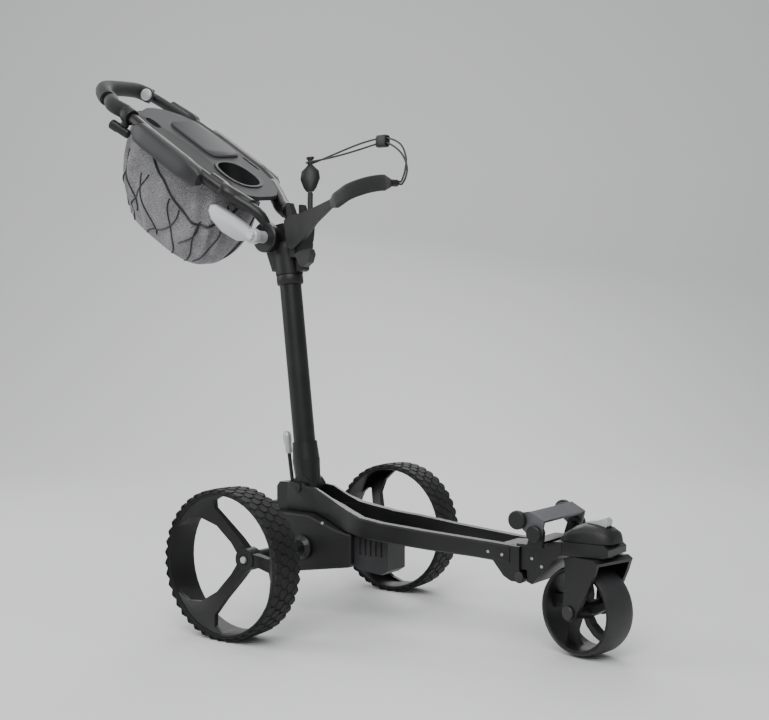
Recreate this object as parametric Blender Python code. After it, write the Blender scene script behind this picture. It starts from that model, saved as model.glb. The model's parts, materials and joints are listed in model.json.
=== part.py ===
"""Three-wheel golf push cart with a low drive unit, folding mast, tilting handle with tray and net bag.

Metres, +Z up, +X towards the front caster, +Y to the cart's left.
Heights are above the ground; lengths along X are measured from the rear axle, and the whole cart is
moved at the end so that the middle of its box stands over the origin.
"""
import math

import bmesh
import bpy
from mathutils import Matrix, Vector

# ---- driving dimensions -------------------------------------------------------------------------
gap = 0.0003              # between pieces that rest on each other
runGap = 0.0006           # around a pin or a turning face

# rear wheels
trackWidth = 0.565        # tyre middle to tyre middle
wheelRadius = 0.146
wheelWidth = 0.075
tyreThickness = 0.0075
rimWall = 0.0035
hubRadius = 0.023
hubInner = 0.218          # hub's inner face, from the middle of the cart
hubOuter = 0.246
axleRadius = 0.010
bearingRadius = 0.0165
buttonWell = 0.0081
buttonDepth = 0.0060
buttonTravel = 0.0025
spokeCount = 3

# front caster
casterRadius = 0.0845
casterWidth = 0.074
casterTrail = 0.036
casterAhead = 0.658       # swivel axis, ahead of the rear axle
casterTurn = -14.0        # the caster stands a little turned at rest
forkArmThickness = 0.008
forkClearance = 0.006
casterAxleRadius = 0.006
postRadius = 0.012

# chassis
railThickness = 0.020
railHeightFront = 0.034
railSpreadWide = 0.078    # outer face of a rail at its widest
railSpreadFront = 0.057
crotchAhead = 0.050       # where the two rails leave the mast base
railEndAhead = 0.516      # joint face between the rails and the folding nose
baseHalfWidth = 0.037
slotHalfWidth = 0.0272
baseTop = 0.276
baseBottom = 0.215
baseRear = -0.095
housingHalfWidth = 0.062
housingBottom = 0.092
motorRight = 0.050         # the motor sits towards the right side
motorLeft = 0.012
motorLength = 0.086

# mast
mastPinAhead = -0.0357
mastPinHeight = 0.265
mastLean = 6.6            # degrees back from upright
mastRadius = 0.0238
mastLength = 0.530        # from its pin to the top of the tube
collarAt = 0.441
collarLength = 0.022
headLength = 0.058
foldPinRadius = 0.006

# handle
handlePivotAhead = -0.120
handlePivotHeight = 0.805
handleRise = 33.0         # degrees above level, going back
trayRoll = 8.0            # the tray leans a little towards the right side
armRoll = 2.5             # and the arms a little less
handleLift = 0.055        # arms' plane above the pivot
armRadius = 0.0125
armSpread = 0.117         # half of the width between the arms
armStart = 0.150          # along the handle, from the pivot
gripEnd = 0.629
gripHalfWidth = 0.078
gripRadius = 0.0185
gripShear = 0.16
discRadius = 0.033
discThickness = 0.020
leverOffset = 0.076       # inner face of the tilt lever's blade
coreHalfWidth = 0.0305
trayFront = 0.084
trayRear = 0.520
trayThickness = 0.010
cupRadiusAlong = 0.058
cupRadiusAcross = 0.043
cupDepth = 0.050
netDepth = 0.248
netWall = 0.0025
clampAlong = 0.458
clampReach = 0.027        # from the arm's middle to the seat of the mounting knob
knobRadius = 0.0122
cordRadius = 0.0021

# upper and lower bag holders
cradleHalfWidth = 0.030
restPinAhead = 0.565
restPinHeight = 0.231
restRollerAhead = 0.532
restRollerHeight = 0.254
restHalfWidth = 0.0775
restRearAhead = 0.522     # rear edge of the lower holder's foot
restFootLength = 0.0345


# ---- scene and materials ------------------------------------------------------------------------
def clearScene():
    for item in list(bpy.data.objects):
        bpy.data.objects.remove(item, do_unlink=True)
    for mesh in list(bpy.data.meshes):
        bpy.data.meshes.remove(mesh)


finishes = {
    "blackMetal": ((0.020, 0.021, 0.023), 0.42, 0.6),
    "blackPlastic": ((0.018, 0.018, 0.020), 0.55, 0.0),
    "darkGrey": ((0.045, 0.046, 0.050), 0.50, 0.0),
    "trayGrey": ((0.110, 0.110, 0.115), 0.55, 0.0),
    "silver": ((0.52, 0.53, 0.55), 0.35, 0.3),
    "steel": ((0.60, 0.60, 0.61), 0.28, 1.0),
    "tyre": ((0.014, 0.014, 0.015), 0.85, 0.0),
    "grip": ((0.016, 0.016, 0.017), 0.80, 0.0),
    "mesh": ((0.120, 0.118, 0.120), 0.90, 0.0),
}


def giveMaterial(piece, finish):
    colour, roughness, metallic = finishes[finish]
    material = bpy.data.materials.new(piece.name + "_finish")
    material.use_nodes = True
    shader = material.node_tree.nodes["Principled BSDF"]
    shader.inputs["Base Color"].default_value = (*colour, 1.0)
    shader.inputs["Roughness"].default_value = roughness
    shader.inputs["Metallic"].default_value = metallic
    piece.data.materials.clear()
    piece.data.materials.append(material)


# ---- shape helpers ------------------------------------------------------------------------------
frames = {}
cutters = []


def addFrame(name, place):
    """An empty on a joint's axis; the pieces that move with it are its children."""
    empty = bpy.data.objects.new(name + "_axis", None)
    bpy.context.collection.objects.link(empty)
    empty.location = place
    frames[name] = empty
    return empty


def addPiece(name, build, finish, frame, smooth=35.0):
    """Turn a bmesh into one named piece whose origin is its frame's origin."""
    bmesh.ops.recalc_face_normals(build, faces=build.faces)
    mesh = bpy.data.meshes.new(name)
    origin = frames[frame].location
    bmesh.ops.translate(build, verts=build.verts, vec=-origin)
    build.to_mesh(mesh)
    build.free()
    piece = bpy.data.objects.new(name, mesh)
    bpy.context.collection.objects.link(piece)
    piece.parent = frames[frame]
    if smooth:
        mesh.shade_smooth()
        mesh.set_sharp_from_angle(angle=math.radians(smooth))
    giveMaterial(piece, finish)
    return piece


def combine(piece, other, operation):
    """Join or cut a piece with a helper shape, which stays as a hidden guide."""
    other.hide_render = True
    other.display_type = "WIRE"
    cutters.append(other)
    modifier = piece.modifiers.new(other.name, "BOOLEAN")
    modifier.operation = operation
    modifier.solver = "EXACT"
    modifier.object = other


def helper(name, build, frame):
    return addPiece(name, build, "blackPlastic", frame, smooth=0)


def rings(sections, closed=False, stripCaps=False):
    """Skin a list of rings that have the same number of points.

    The ends are capped with one face, or with a strip of quads where the section is a bent band.
    """
    build = bmesh.new()
    loops = [[build.verts.new(point) for point in section] for section in sections]
    pairs = list(zip(loops, loops[1:]))
    if closed:
        pairs.append((loops[-1], loops[0]))
    for first, second in pairs:
        count = len(first)
        for index in range(count):
            after = (index + 1) % count
            build.faces.new((first[index], first[after], second[after], second[index]))
    if stripCaps:
        last = len(loops[0]) - 1
        for loop in (loops[0], loops[-1]):
            for index in range(last // 2):
                build.faces.new((loop[index], loop[index + 1], loop[last - index - 1], loop[last - index]))
    elif not closed:
        build.faces.new(list(reversed(loops[0])))
        build.faces.new(loops[-1])
    return build


def crossways(axis):
    """Two directions square to an axis and to each other."""
    first = Vector((0, 0, 1)) if abs(axis.z) < 0.9 else Vector((1, 0, 0))
    first = (first - axis * first.dot(axis)).normalized()
    return first, axis.cross(first)


def turned(profile, centre, axis, segments=40, phase=0.021):
    """Turn a closed outline of (radius, along) points round an axis."""
    axis = Vector(axis).normalized()
    first, second = crossways(axis)
    sections = []
    for step in range(segments):
        angle = 2 * math.pi * step / segments + phase
        out = first * math.cos(angle) + second * math.sin(angle)
        sections.append([Vector(centre) + out * radius + axis * along for radius, along in profile])
    return rings(sections, closed=True)


def rod(start, end, radius, segments=20, endRadius=None, chamfer=0.0, phase=0.034):
    """A solid round bar, with an optional taper and chamfered ends."""
    start = Vector(start)
    end = Vector(end)
    axis = (end - start).normalized()
    first, second = crossways(axis)
    last = radius if endRadius is None else endRadius
    stations = [(start, radius), (end, last)]
    if chamfer:
        stations = [(start, radius - chamfer), (start + axis * chamfer, radius),
                    (end - axis * chamfer, last), (end, last - chamfer)]
    sections = []
    for place, size in stations:
        sections.append([place + (first * math.cos(2 * math.pi * k / segments + phase)
                                  + second * math.sin(2 * math.pi * k / segments + phase)) * size
                         for k in range(segments)])
    return rings(sections)


def plate(outline, low, high, axis="Y"):
    """Push a flat outline through a thickness. Outline points are (x, z), or (x, y) for axis Z."""
    def lift(point, level):
        if axis == "Y":
            return Vector((point[0], level, point[1]))
        return Vector((point[0], point[1], level))
    return rings([[lift(point, low) for point in outline], [lift(point, high) for point in outline]])


def block(low, high, bevel=0.0):
    outline = [(low[0], low[2]), (high[0], low[2]), (high[0], high[2]), (low[0], high[2])]
    build = plate(outline, low[1], high[1])
    if bevel:
        bmesh.ops.recalc_face_normals(build, faces=build.faces)
        bmesh.ops.bevel(build, geom=build.edges[:], offset=bevel, segments=2, affect="EDGES",
                        profile=0.5, clamp_overlap=True)
    return build


def smoothPath(points, perSpan=6):
    """A Catmull-Rom curve through the points."""
    points = [Vector(point) for point in points]
    extended = [points[0] * 2 - points[1]] + points + [points[-1] * 2 - points[-2]]
    path = []
    for index in range(1, len(extended) - 2):
        before, here, after, beyond = extended[index - 1:index + 3]
        for step in range(perSpan):
            t = step / perSpan
            path.append(0.5 * ((2 * here) + (after - before) * t
                               + (2 * before - 5 * here + 4 * after - beyond) * t * t
                               + (3 * here - before - 3 * after + beyond) * t ** 3))
    path.append(points[-1])
    return path


def tube(path, radius, sides=12, flat=1.0, up=(0, 0, 1)):
    """A bar that follows a path. flat squeezes its section along the frame's second axis."""
    sections = []
    upward = Vector(up)
    for index, place in enumerate(path):
        ahead = path[min(index + 1, len(path) - 1)] - path[max(index - 1, 0)]
        ahead.normalize()
        side = ahead.cross(upward).normalized()
        lift = side.cross(ahead).normalized()
        size = radius(index / (len(path) - 1)) if callable(radius) else radius
        sections.append([place + (side * math.cos(2 * math.pi * k / sides)
                                  + lift * (math.sin(2 * math.pi * k / sides) * flat)) * size
                         for k in range(sides)])
    return rings(sections)


def roundedOutline(halfLong, halfWide, power=3.0, count=28, centre=(0.0, 0.0)):
    """A superellipse."""
    outline = []
    for step in range(count):
        angle = 2 * math.pi * step / count
        c = math.cos(angle)
        s = math.sin(angle)
        outline.append((centre[0] + math.copysign(abs(c) ** (2 / power), c) * halfLong,
                        centre[1] + math.copysign(abs(s) ** (2 / power), s) * halfWide))
    return outline


def arc(centre, radius, fromAngle, toAngle, count):
    """Points on an arc in a flat outline, angles in degrees."""
    return [(centre[0] + radius * math.cos(math.radians(fromAngle + (toAngle - fromAngle) * k / (count - 1))),
             centre[1] + radius * math.sin(math.radians(fromAngle + (toAngle - fromAngle) * k / (count - 1))))
            for k in range(count)]


# ---- the mast's and the handle's own directions -------------------------------------------------
mastPin = Vector((mastPinAhead, 0, mastPinHeight))
mastUp = Vector((-math.sin(math.radians(mastLean)), 0, math.cos(math.radians(mastLean))))
mastFront = Vector((math.cos(math.radians(mastLean)), 0, math.sin(math.radians(mastLean))))


def onMast(ahead, aside, along):
    return mastPin + mastFront * ahead + Vector((0, aside, 0)) + mastUp * along


handlePivot = Vector((handlePivotAhead, 0, handlePivotHeight))
handleAlong = Vector((-math.cos(math.radians(handleRise)), 0, math.sin(math.radians(handleRise))))
handleFlatUp = Vector((math.sin(math.radians(handleRise)), 0, math.cos(math.radians(handleRise))))


def rolled(degrees):
    """Across and up directions of a plane that leans to the right."""
    lean = math.radians(degrees)
    return (Vector((0, math.cos(lean), 0)) + handleFlatUp * math.sin(lean),
            handleFlatUp * math.cos(lean) - Vector((0, math.sin(lean), 0)))


handleAcross, handleUp = rolled(trayRoll)
armAcross, armUp = rolled(armRoll)
planeStart = handlePivot + handleFlatUp * handleLift


def onHandle(along, across, up=0.0):
    """A point on the tray's plane."""
    return planeStart + handleAlong * along + handleAcross * across + handleUp * up


# ---- rear wheels --------------------------------------------------------------------------------
def rearWheel(side, label):
    middle = side * trackWidth / 2
    frame = "wheel_" + label
    addFrame(frame, Vector((0, side * (hubInner + hubOuter) / 2, wheelRadius)))
    centre = Vector((0, middle, wheelRadius))
    half = wheelWidth / 2
    innerTyre = wheelRadius - tyreThickness
    shoulder = 0.012
    tread = [(innerTyre, -half + 0.004)]
    tread += [(wheelRadius - shoulder * (1 - math.sin(math.radians(a))) * 0.5,
               -half + shoulder * (1 - math.cos(math.radians(a)))) for a in (0, 50, 90)]
    tread += [(radius, -along) for radius, along in reversed(tread)]
    addPiece("tyre_rear_" + label, turned(tread, centre, (0, side, 0), 48), "tyre", frame)

    outer = innerTyre - gap
    rimHalf = half - 0.003
    barrel = [(outer, -rimHalf), (outer, rimHalf), (outer - 0.002, rimHalf),
              (outer - rimWall, rimHalf - 0.004), (outer - rimWall, -rimHalf + 0.004),
              (outer - 0.002, -rimHalf)]
    rim = addPiece("rim_rear_" + label, turned(barrel, centre, (0, side, 0), 48), "blackMetal", frame)
    hub = [(bearingRadius + gap, 0), (hubRadius, 0), (hubRadius, hubOuter - hubInner),
           (axleRadius + runGap, hubOuter - hubInner), (axleRadius + runGap, hubOuter - hubInner - 0.004),
           (bearingRadius + gap, hubOuter - hubInner - 0.004)]
    hubCentre = Vector((0, side * hubInner, wheelRadius))
    combine(rim, helper("hub_" + label, turned(hub, hubCentre, (0, side, 0), 32), frame), "UNION")
    for number in range(spokeCount):
        angle = 2 * math.pi * number / spokeCount
        combine(rim, helper("spoke_%s_%d" % (label, number),
                            spoke(side, angle, outer - rimWall * 0.5), frame), "UNION")

    bearing = [(axleRadius + runGap, gap), (bearingRadius, gap),
               (bearingRadius, hubOuter - hubInner - 0.004 - gap),
               (axleRadius + runGap, hubOuter - hubInner - 0.004 - gap)]
    addPiece("bearing_rear_" + label, turned(bearing, hubCentre, (0, side, 0), 24), "steel", frame)


def spoke(side, angle, reach):
    """A spoke that starts at the hub and fans out to the outer lip of the rim."""
    stations = [(0.020, 0.70, 0.233, 0.020), (0.045, 0.27, 0.241, 0.016), (0.085, 0.155, 0.262, 0.012),
                (0.112, 0.20, 0.287, 0.011), (0.126, 0.34, 0.301, 0.010), (reach, 0.56, 0.307, 0.010)]
    sections = []
    across = 4
    for radius, halfAngle, aside, thick in stations:
        top = []
        bottom = []
        for step in range(across + 1):
            turn = angle + halfAngle * (2 * step / across - 1)
            x = radius * math.cos(turn)
            z = wheelRadius + radius * math.sin(turn)
            top.append(Vector((x, side * (aside + thick / 2), z)))
            bottom.append(Vector((x, side * (aside - thick / 2), z)))
        sections.append(top + list(reversed(bottom)))
    return rings(sections, stripCaps=True)


def rearAxle(side, label):
    inner = Vector((0, side * (housingHalfWidth + gap), wheelRadius))
    outer = Vector((0, side * (hubOuter + 0.001), wheelRadius))
    length = (outer - inner).length
    axle = [(0, 0), (0.026, 0), (0.026, 0.008), (0.017, 0.016), (0.014, 0.060), (0.014, 0.140),
            (axleRadius, 0.144), (axleRadius, length), (buttonWell, length), (buttonWell, length - buttonDepth),
            (0, length - buttonDepth)]
    build = solidTurned(axle, inner, (0, side, 0), 24)
    addPiece("axle_" + label, build, "blackMetal", "chassis")


def solidTurned(profile, centre, axis, segments=24, phase=0.011):
    """Turn an open outline that starts and ends on the axis."""
    axis = Vector(axis).normalized()
    first, second = crossways(axis)
    build = bmesh.new()
    start = build.verts.new(Vector(centre) + axis * profile[0][1])
    finish = build.verts.new(Vector(centre) + axis * profile[-1][1])
    loops = []
    for radius, along in profile[1:-1]:
        loops.append([build.verts.new(Vector(centre) + axis * along
                                      + (first * math.cos(2 * math.pi * k / segments + phase)
                                         + second * math.sin(2 * math.pi * k / segments + phase)) * radius)
                      for k in range(segments)])
    for k in range(segments):
        after = (k + 1) % segments
        build.faces.new((start, loops[0][after], loops[0][k]))
        build.faces.new((finish, loops[-1][k], loops[-1][after]))
        for near, far in zip(loops, loops[1:]):
            build.faces.new((near[k], near[after], far[after], far[k]))
    return build


def hubButton(side, label):
    addFrame("button_" + label, Vector((0, side * hubOuter, wheelRadius)))
    start = hubOuter + 0.001 - buttonDepth + buttonTravel + gap
    profile = [(0, 0), (0.0074, 0), (0.0074, 0.0055), (0.006, 0.0070), (0, 0.0070)]
    build = solidTurned(profile, Vector((0, side * start, wheelRadius)), (0, side, 0), 20)
    addPiece("hub_button_" + label, build, "steel", "button_" + label)


# ---- chassis ------------------------------------------------------------------------------------
def railStations():
    """(ahead, outer face, top, bottom) down one rail."""
    lowBefore = baseBottom
    return [(baseRear + 0.030, baseHalfWidth, baseTop, lowBefore),
            (0.010, baseHalfWidth, baseTop - 0.008, lowBefore),
            (crotchAhead, baseHalfWidth + 0.001, 0.250, 0.202),
            (0.080, 0.046, 0.239, 0.192),
            (0.110, 0.057, 0.2315, 0.1855),
            (0.155, 0.072, 0.2215, 0.1815),
            (0.210, railSpreadWide, 0.2165, 0.179),
            (0.320, 0.068, 0.2085, 0.1725),
            (0.420, 0.060, 0.203, 0.203 - railHeightFront),
            (railEndAhead - 0.056, railSpreadFront, 0.2005, 0.2005 - railHeightFront),
            (railEndAhead - 0.020, railSpreadFront, 0.1985, 0.165)]


def rail(side):
    bevel = 0.003
    sections = []
    for ahead, outer, top, bottom in railStations():
        inner = outer - railThickness if ahead > crotchAhead + 0.01 else 0.0135
        section = [(outer - bevel, top), (outer, top - bevel), (outer, bottom + bevel), (outer - bevel, bottom),
                   (inner, bottom), (inner, top)]
        sections.append([Vector((ahead, side * y, z)) for y, z in section])
    return rings(sections)


def mainFrame():
    outline = [(baseRear, baseBottom), (0.020, baseBottom), (0.060, 0.222), (0.030, 0.245), (-0.010, 0.262),
               (-0.020, baseTop), (baseRear + 0.008, baseTop), (baseRear, baseTop - 0.010)]
    frame = addPiece("main_frame", plate(outline, -baseHalfWidth + 0.001, baseHalfWidth - 0.001),
                     "blackMetal", "chassis")
    for side, label in ((-1, "right"), (1, "left")):
        combine(frame, helper("rail_" + label, rail(side), "chassis"), "UNION")
    pinZ = nosePinHeight
    lobe = [(railEndAhead - gap, 0.198), (railEndAhead - 0.050, 0.198), (railEndAhead - 0.058, 0.168),
            (railEndAhead - 0.034, 0.140), (railEndAhead - 0.018, 0.132)]
    lobe += arc((railEndAhead, pinZ), noseKnuckle, -125, -10, 6)
    lobe += [(railEndAhead - gap, pinZ + noseKnuckle)]
    combine(frame, helper("rail_end", plate(lobe, -railSpreadFront + 0.0015, railSpreadFront - 0.0015),
                          "chassis"), "UNION")
    slotOutline = [(mastPinAhead - 0.033, 0.2345), (mastPinAhead + 0.0275, 0.2345), (0.11, 0.2345), (0.11, 0.36),
                   (mastPinAhead - 0.046, 0.36)]
    combine(frame, helper("mast_slot", plate(slotOutline, -slotHalfWidth, slotHalfWidth), "chassis"),
            "DIFFERENCE")
    knuckleClear = noseKnuckle + runGap
    middle = [(railEndAhead + 0.03, pinZ - 0.03), (railEndAhead + 0.03, pinZ + knuckleClear)]
    middle += [(railEndAhead - knuckleClear, pinZ + knuckleClear), (railEndAhead - knuckleClear, pinZ - 0.03)]
    combine(frame, helper("nose_gap", plate(middle, -noseTongue - runGap, noseTongue + runGap), "chassis"),
            "DIFFERENCE")
    pinHole = foldPinRadius + gap
    combine(frame, helper("mast_pin_hole", rod((mastPinAhead, -0.1, mastPinHeight),
                                               (mastPinAhead, 0.1, mastPinHeight), pinHole), "chassis"),
            "DIFFERENCE")
    combine(frame, helper("nose_pin_hole", rod((railEndAhead, -0.1, pinZ), (railEndAhead, 0.1, pinZ), pinHole),
                          "chassis"), "DIFFERENCE")
    combine(frame, helper("lever_notch", block((baseRear - 0.01, -leverHalfWidth - runGap, leverPin.z - 0.009),
                                               (leverPin.x + 0.009, leverHalfWidth + runGap, 0.33)), "chassis"),
            "DIFFERENCE")
    combine(frame, helper("pedal_notch", block((baseRear - 0.01, -pedalHalfWidth - runGap, 0.2165),
                                               (pedalPin.x + 0.009, pedalHalfWidth + runGap, 0.2345)), "chassis"),
            "DIFFERENCE")


nosePinHeight = 0.142
noseKnuckle = 0.0125
noseTongue = 0.030
leverHalfWidth = 0.008
leverPin = Vector((baseRear + 0.014, 0, 0.2695))
pedalHalfWidth = 0.020
pedalPin = Vector((baseRear + 0.012, 0, 0.2255))


def driveHousing():
    top = baseBottom - gap
    outline = [(baseRear, top), (baseRear - 0.004, 0.190), (baseRear + 0.004, 0.120), (-0.060, 0.096),
               (-0.020, housingBottom), (0.118, 0.114), (0.1245, 0.122), (0.1245, 0.1835), (0.110, 0.1848),
               (0.080, 0.1912), (crotchAhead, 0.2012), (0.010, top)]
    build = plate(outline, -housingHalfWidth, housingHalfWidth)
    bmesh.ops.recalc_face_normals(build, faces=build.faces)
    rims = [edge for edge in build.edges
            if abs(abs(edge.verts[0].co.y) - housingHalfWidth) < 1e-6
            and abs(edge.verts[0].co.y - edge.verts[1].co.y) < 1e-6]
    bmesh.ops.bevel(build, geom=rims, offset=0.005, segments=3, affect="EDGES", profile=0.5)
    addPiece("drive_housing", build, "blackPlastic", "chassis")


def motorBlock():
    rear = 0.1245 + gap
    top = 0.1785 - gap
    outline = [(rear, top), (rear, 0.118), (rear + 0.010, 0.112), (rear + motorLength - 0.016, 0.106),
               (rear + motorLength, 0.116), (rear + motorLength, top - 0.004), (rear + motorLength - 0.006, top)]
    motor = addPiece("motor_block", plate(outline, -motorRight, motorLeft), "darkGrey", "chassis", smooth=25)
    finPitch = 0.0135
    for number in range(5):
        at = rear + 0.014 + finPitch * number
        for face, label in ((-motorRight, "right"), (motorLeft, "left")):
            combine(motor, helper("fin_slot_%s_%d" % (label, number),
                                  block((at, face - 0.004, 0.142), (at + 0.0045, face + 0.004, 0.20)), "chassis"),
                    "DIFFERENCE")


def brakePedal():
    addFrame("pedal", pedalPin)
    outline = [(pedalPin.x + 0.006, pedalPin.z), (pedalPin.x + 0.003, pedalPin.z + 0.0055),
               (pedalPin.x - 0.010, pedalPin.z + 0.0055), (pedalPin.x - 0.050, pedalPin.z + 0.003),
               (pedalPin.x - 0.055, pedalPin.z - 0.001), (pedalPin.x - 0.050, pedalPin.z - 0.004),
               (pedalPin.x - 0.010, pedalPin.z - 0.004), (pedalPin.x + 0.003, pedalPin.z - 0.0055)]
    addPiece("brake_pedal", plate(outline, -pedalHalfWidth, pedalHalfWidth), "silver", "pedal")


def crossPin(name, ahead, height, halfLength, frame, finish="steel"):
    """A pin across the cart with a low head at each end."""
    profile = [(0, -halfLength - 0.003), (0.0085, -halfLength - 0.003), (0.0095, -halfLength - 0.002),
               (0.0095, -halfLength - gap), (foldPinRadius, -halfLength - gap),
               (foldPinRadius, halfLength + gap), (0.0095, halfLength + gap), (0.0095, halfLength + 0.002),
               (0.0085, halfLength + 0.003), (0, halfLength + 0.003)]
    addPiece(name, solidTurned(profile, Vector((ahead, 0, height)), (0, 1, 0), 20), finish, frame)


# ---- mast ---------------------------------------------------------------------------------------
def mastRod(low, high, radius, segments=32, endRadius=None, phase=0.034):
    return rod(onMast(0, 0, low), onMast(0, 0, high), radius, segments, endRadius, phase=phase)


def mast():
    footInner = mastRadius + gap
    foot = rod((mastPinAhead, -0.0262, mastPinHeight), (mastPinAhead, 0.0262, mastPinHeight), 0.0262, 28)
    foot = addPiece("mast_foot", foot, "blackMetal", "mast")
    combine(foot, helper("foot_body", mastRod(0.0, 0.060, 0.0262, 32, 0.0300), "mast"), "UNION")
    combine(foot, helper("foot_top", mastRod(0.050, 0.098, 0.0298, 32, 0.0268, 0.081), "mast"), "UNION")
    combine(foot, helper("foot_socket", mastRod(0.028, 0.12, footInner, 32, phase=0.052), "mast"), "DIFFERENCE")
    combine(foot, helper("foot_pin_hole", rod((mastPinAhead, -0.1, mastPinHeight),
                                              (mastPinAhead, 0.1, mastPinHeight), foldPinRadius + gap), "mast"),
            "DIFFERENCE")
    wall = 0.0022
    tubeProfile = [(mastRadius, 0.028 + gap), (mastRadius, mastLength), (mastRadius - wall, mastLength),
                   (mastRadius - wall, 0.028 + gap)]
    addPiece("mast_tube", turned(tubeProfile, mastPin, mastUp, 32), "blackMetal", "mast")
    collar = [(mastRadius + gap, collarAt), (0.0272, collarAt), (0.0292, collarAt + 0.004),
              (0.0292, collarAt + collarLength - 0.002), (0.0280, collarAt + collarLength - gap),
              (mastRadius + gap, collarAt + collarLength - gap)]
    addPiece("mast_collar", turned(collar, mastPin, mastUp, 32), "blackPlastic", "mast")
    mastHead(collarAt + collarLength)


def localPivot():
    away = handlePivot - mastPin
    return away.dot(mastFront), away.dot(mastUp)


def mastHead(start):
    pivotAhead, pivotAlong = localPivot()
    sleeve = [(0, start), (0.0300, start), (0.0300, start + headLength),
              (0.0270, start + headLength + 0.012), (0, start + headLength + 0.012)]
    head = addPiece("mast_head", solidTurned(sleeve, mastPin, mastUp, 32), "blackMetal", "mast")
    hub = rod(handlePivot + Vector((0, -coreHalfWidth, 0)), handlePivot + Vector((0, coreHalfWidth, 0)), 0.029, 28)
    combine(head, helper("hinge_core", hub, "mast"), "UNION")
    neckOutline = []
    for ahead, along in ((-0.030, start + 0.010), (0.026, start + 0.030), (0.030, start + headLength + 0.030),
                         (0.012, pivotAlong + 0.028), (pivotAhead - 0.010, pivotAlong + 0.026),
                         (pivotAhead - 0.026, pivotAlong - 0.008)):
        place = onMast(ahead, 0, along)
        neckOutline.append((place.x, place.z))
    combine(head, helper("neck", plate(neckOutline, -0.022, 0.022), "mast"), "UNION")
    clear = mastRod(start - 0.01, mastLength + 0.0005, mastRadius + gap, 32, phase=0.052)
    combine(head, helper("head_bore", clear, "mast"), "DIFFERENCE")
    hole = rod(handlePivot + Vector((0, -0.1, 0)), handlePivot + Vector((0, 0.1, 0)), foldPinRadius + gap)
    combine(head, helper("head_pin_hole", hole, "mast"), "DIFFERENCE")
    latchNotch = plate([(p.x, p.z) for p in (onMast(0.028, 0, start - 0.01), onMast(0.045, 0, start - 0.01),
                                             onMast(0.045, 0, start + 0.030), onMast(0.028, 0, start + 0.030))],
                       -0.0125, 0.0125)
    combine(head, helper("latch_notch", latchNotch, "mast"), "DIFFERENCE")


def headLatch():
    start = collarAt + collarLength
    pin = onMast(0.0335, 0, start + 0.0275)
    addFrame("latch", pin)
    outline = [(0.0284, 0.003), (0.0400, 0.001), (0.0475, 0.004), (0.0490, 0.014), (0.0440, 0.024),
               (0.0390, 0.0285), (0.0284, 0.0285)]
    points = [onMast(ahead, 0, start + along) for ahead, along in outline]
    addPiece("head_latch", plate([(p.x, p.z) for p in points], -0.0115, 0.0115), "blackPlastic", "latch")


def foldLever():
    addFrame("fold_lever", leverPin)
    leverTop = Vector((baseRear + 0.004, 0, 0.334))
    lever = addPiece("fold_lever", rod(leverPin + Vector((0, -leverHalfWidth, 0)),
                                       leverPin + Vector((0, leverHalfWidth, 0)), 0.0065, 20),
                     "blackMetal", "fold_lever")
    combine(lever, helper("lever_stem", rod(leverPin, leverTop, 0.0042, 14), "fold_lever"), "UNION")
    knob = [(0, 0), (0.0065, 0), (0.0078, 0.004), (0.0074, 0.016), (0.0092, 0.030), (0.0095, 0.038),
            (0.0080, 0.045), (0.0045, 0.049), (0, 0.0495)]
    axis = leverTop - leverPin
    build = solidTurned(knob, leverTop + axis.normalized() * gap, axis, 20)
    addPiece("fold_lever_knob", build, "silver", "fold_lever")


# ---- handle, tray and net -----------------------------------------------------------------------
def sheared(along, across):
    return along + across * gripShear * max(0.0, min(1.0, (along - armStart) / (gripEnd - armStart)))


def armPoint(side, along, across, up=0.0):
    """A point on the plane of the two arms."""
    return (planeStart + handleAlong * sheared(along, side * across) + armAcross * (side * across)
            + armUp * up)


def handleFrame():
    """Both arms, from the pivot discs to the joint with the grip bar, as one welded loop."""
    def sidePath(side):
        discMiddle = coreHalfWidth + gap + discThickness / 2
        start = handlePivot + Vector((0, side * discMiddle, 0))
        return [start + handleAlong * 0.010 + handleFlatUp * 0.022,
                start + handleAlong * 0.042 + handleFlatUp * 0.038 + Vector((0, side * 0.014, 0)),
                armPoint(side, armStart - 0.048, armSpread - 0.034, -0.010),
                armPoint(side, armStart + 0.050, armSpread, 0.0),
                armPoint(side, 0.320, armSpread + 0.002, 0.0),
                armPoint(side, 0.440, armSpread - 0.008, 0.0)]
    corner = [armPoint(-1, 0.520, armSpread - 0.006), armPoint(-1, 0.580, gripHalfWidth + 0.026),
              armPoint(-1, gripEnd - 0.008, gripHalfWidth - 0.006), armPoint(-1, gripEnd, 0.030, 0.0)]
    mirror = [armPoint(1, gripEnd, 0.030, 0.0), armPoint(1, gripEnd - 0.010, gripHalfWidth - 0.022),
              armPoint(1, 0.580, gripHalfWidth + 0.002), armPoint(1, 0.520, armSpread - 0.024)]
    route = sidePath(-1) + corner + mirror + list(reversed(sidePath(1)))
    path = smoothPath(route, 3)

    def swell(t):
        """The bar is pinched where it is welded to the pivot discs."""
        return armRadius - 0.0030 * max(0.0, 1 - min(t, 1 - t) / 0.03)
    frame = addPiece("handle_frame", tube(path, swell, 12, up=handleUp), "blackMetal", "handle")
    for side, label in ((-1, "right"), (1, "left")):
        low = handlePivot + Vector((0, side * (coreHalfWidth + gap), 0))
        high = handlePivot + Vector((0, side * (coreHalfWidth + gap + discThickness), 0))
        combine(frame, helper("pivot_disc_" + label, rod(low, high, discRadius, 32, chamfer=0.003), "handle"),
                "UNION")
    hole = rod(handlePivot + Vector((0, -0.1, 0)), handlePivot + Vector((0, 0.1, 0)), foldPinRadius + gap)
    combine(frame, helper("disc_hole", hole, "handle"), "DIFFERENCE")
    return path


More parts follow.
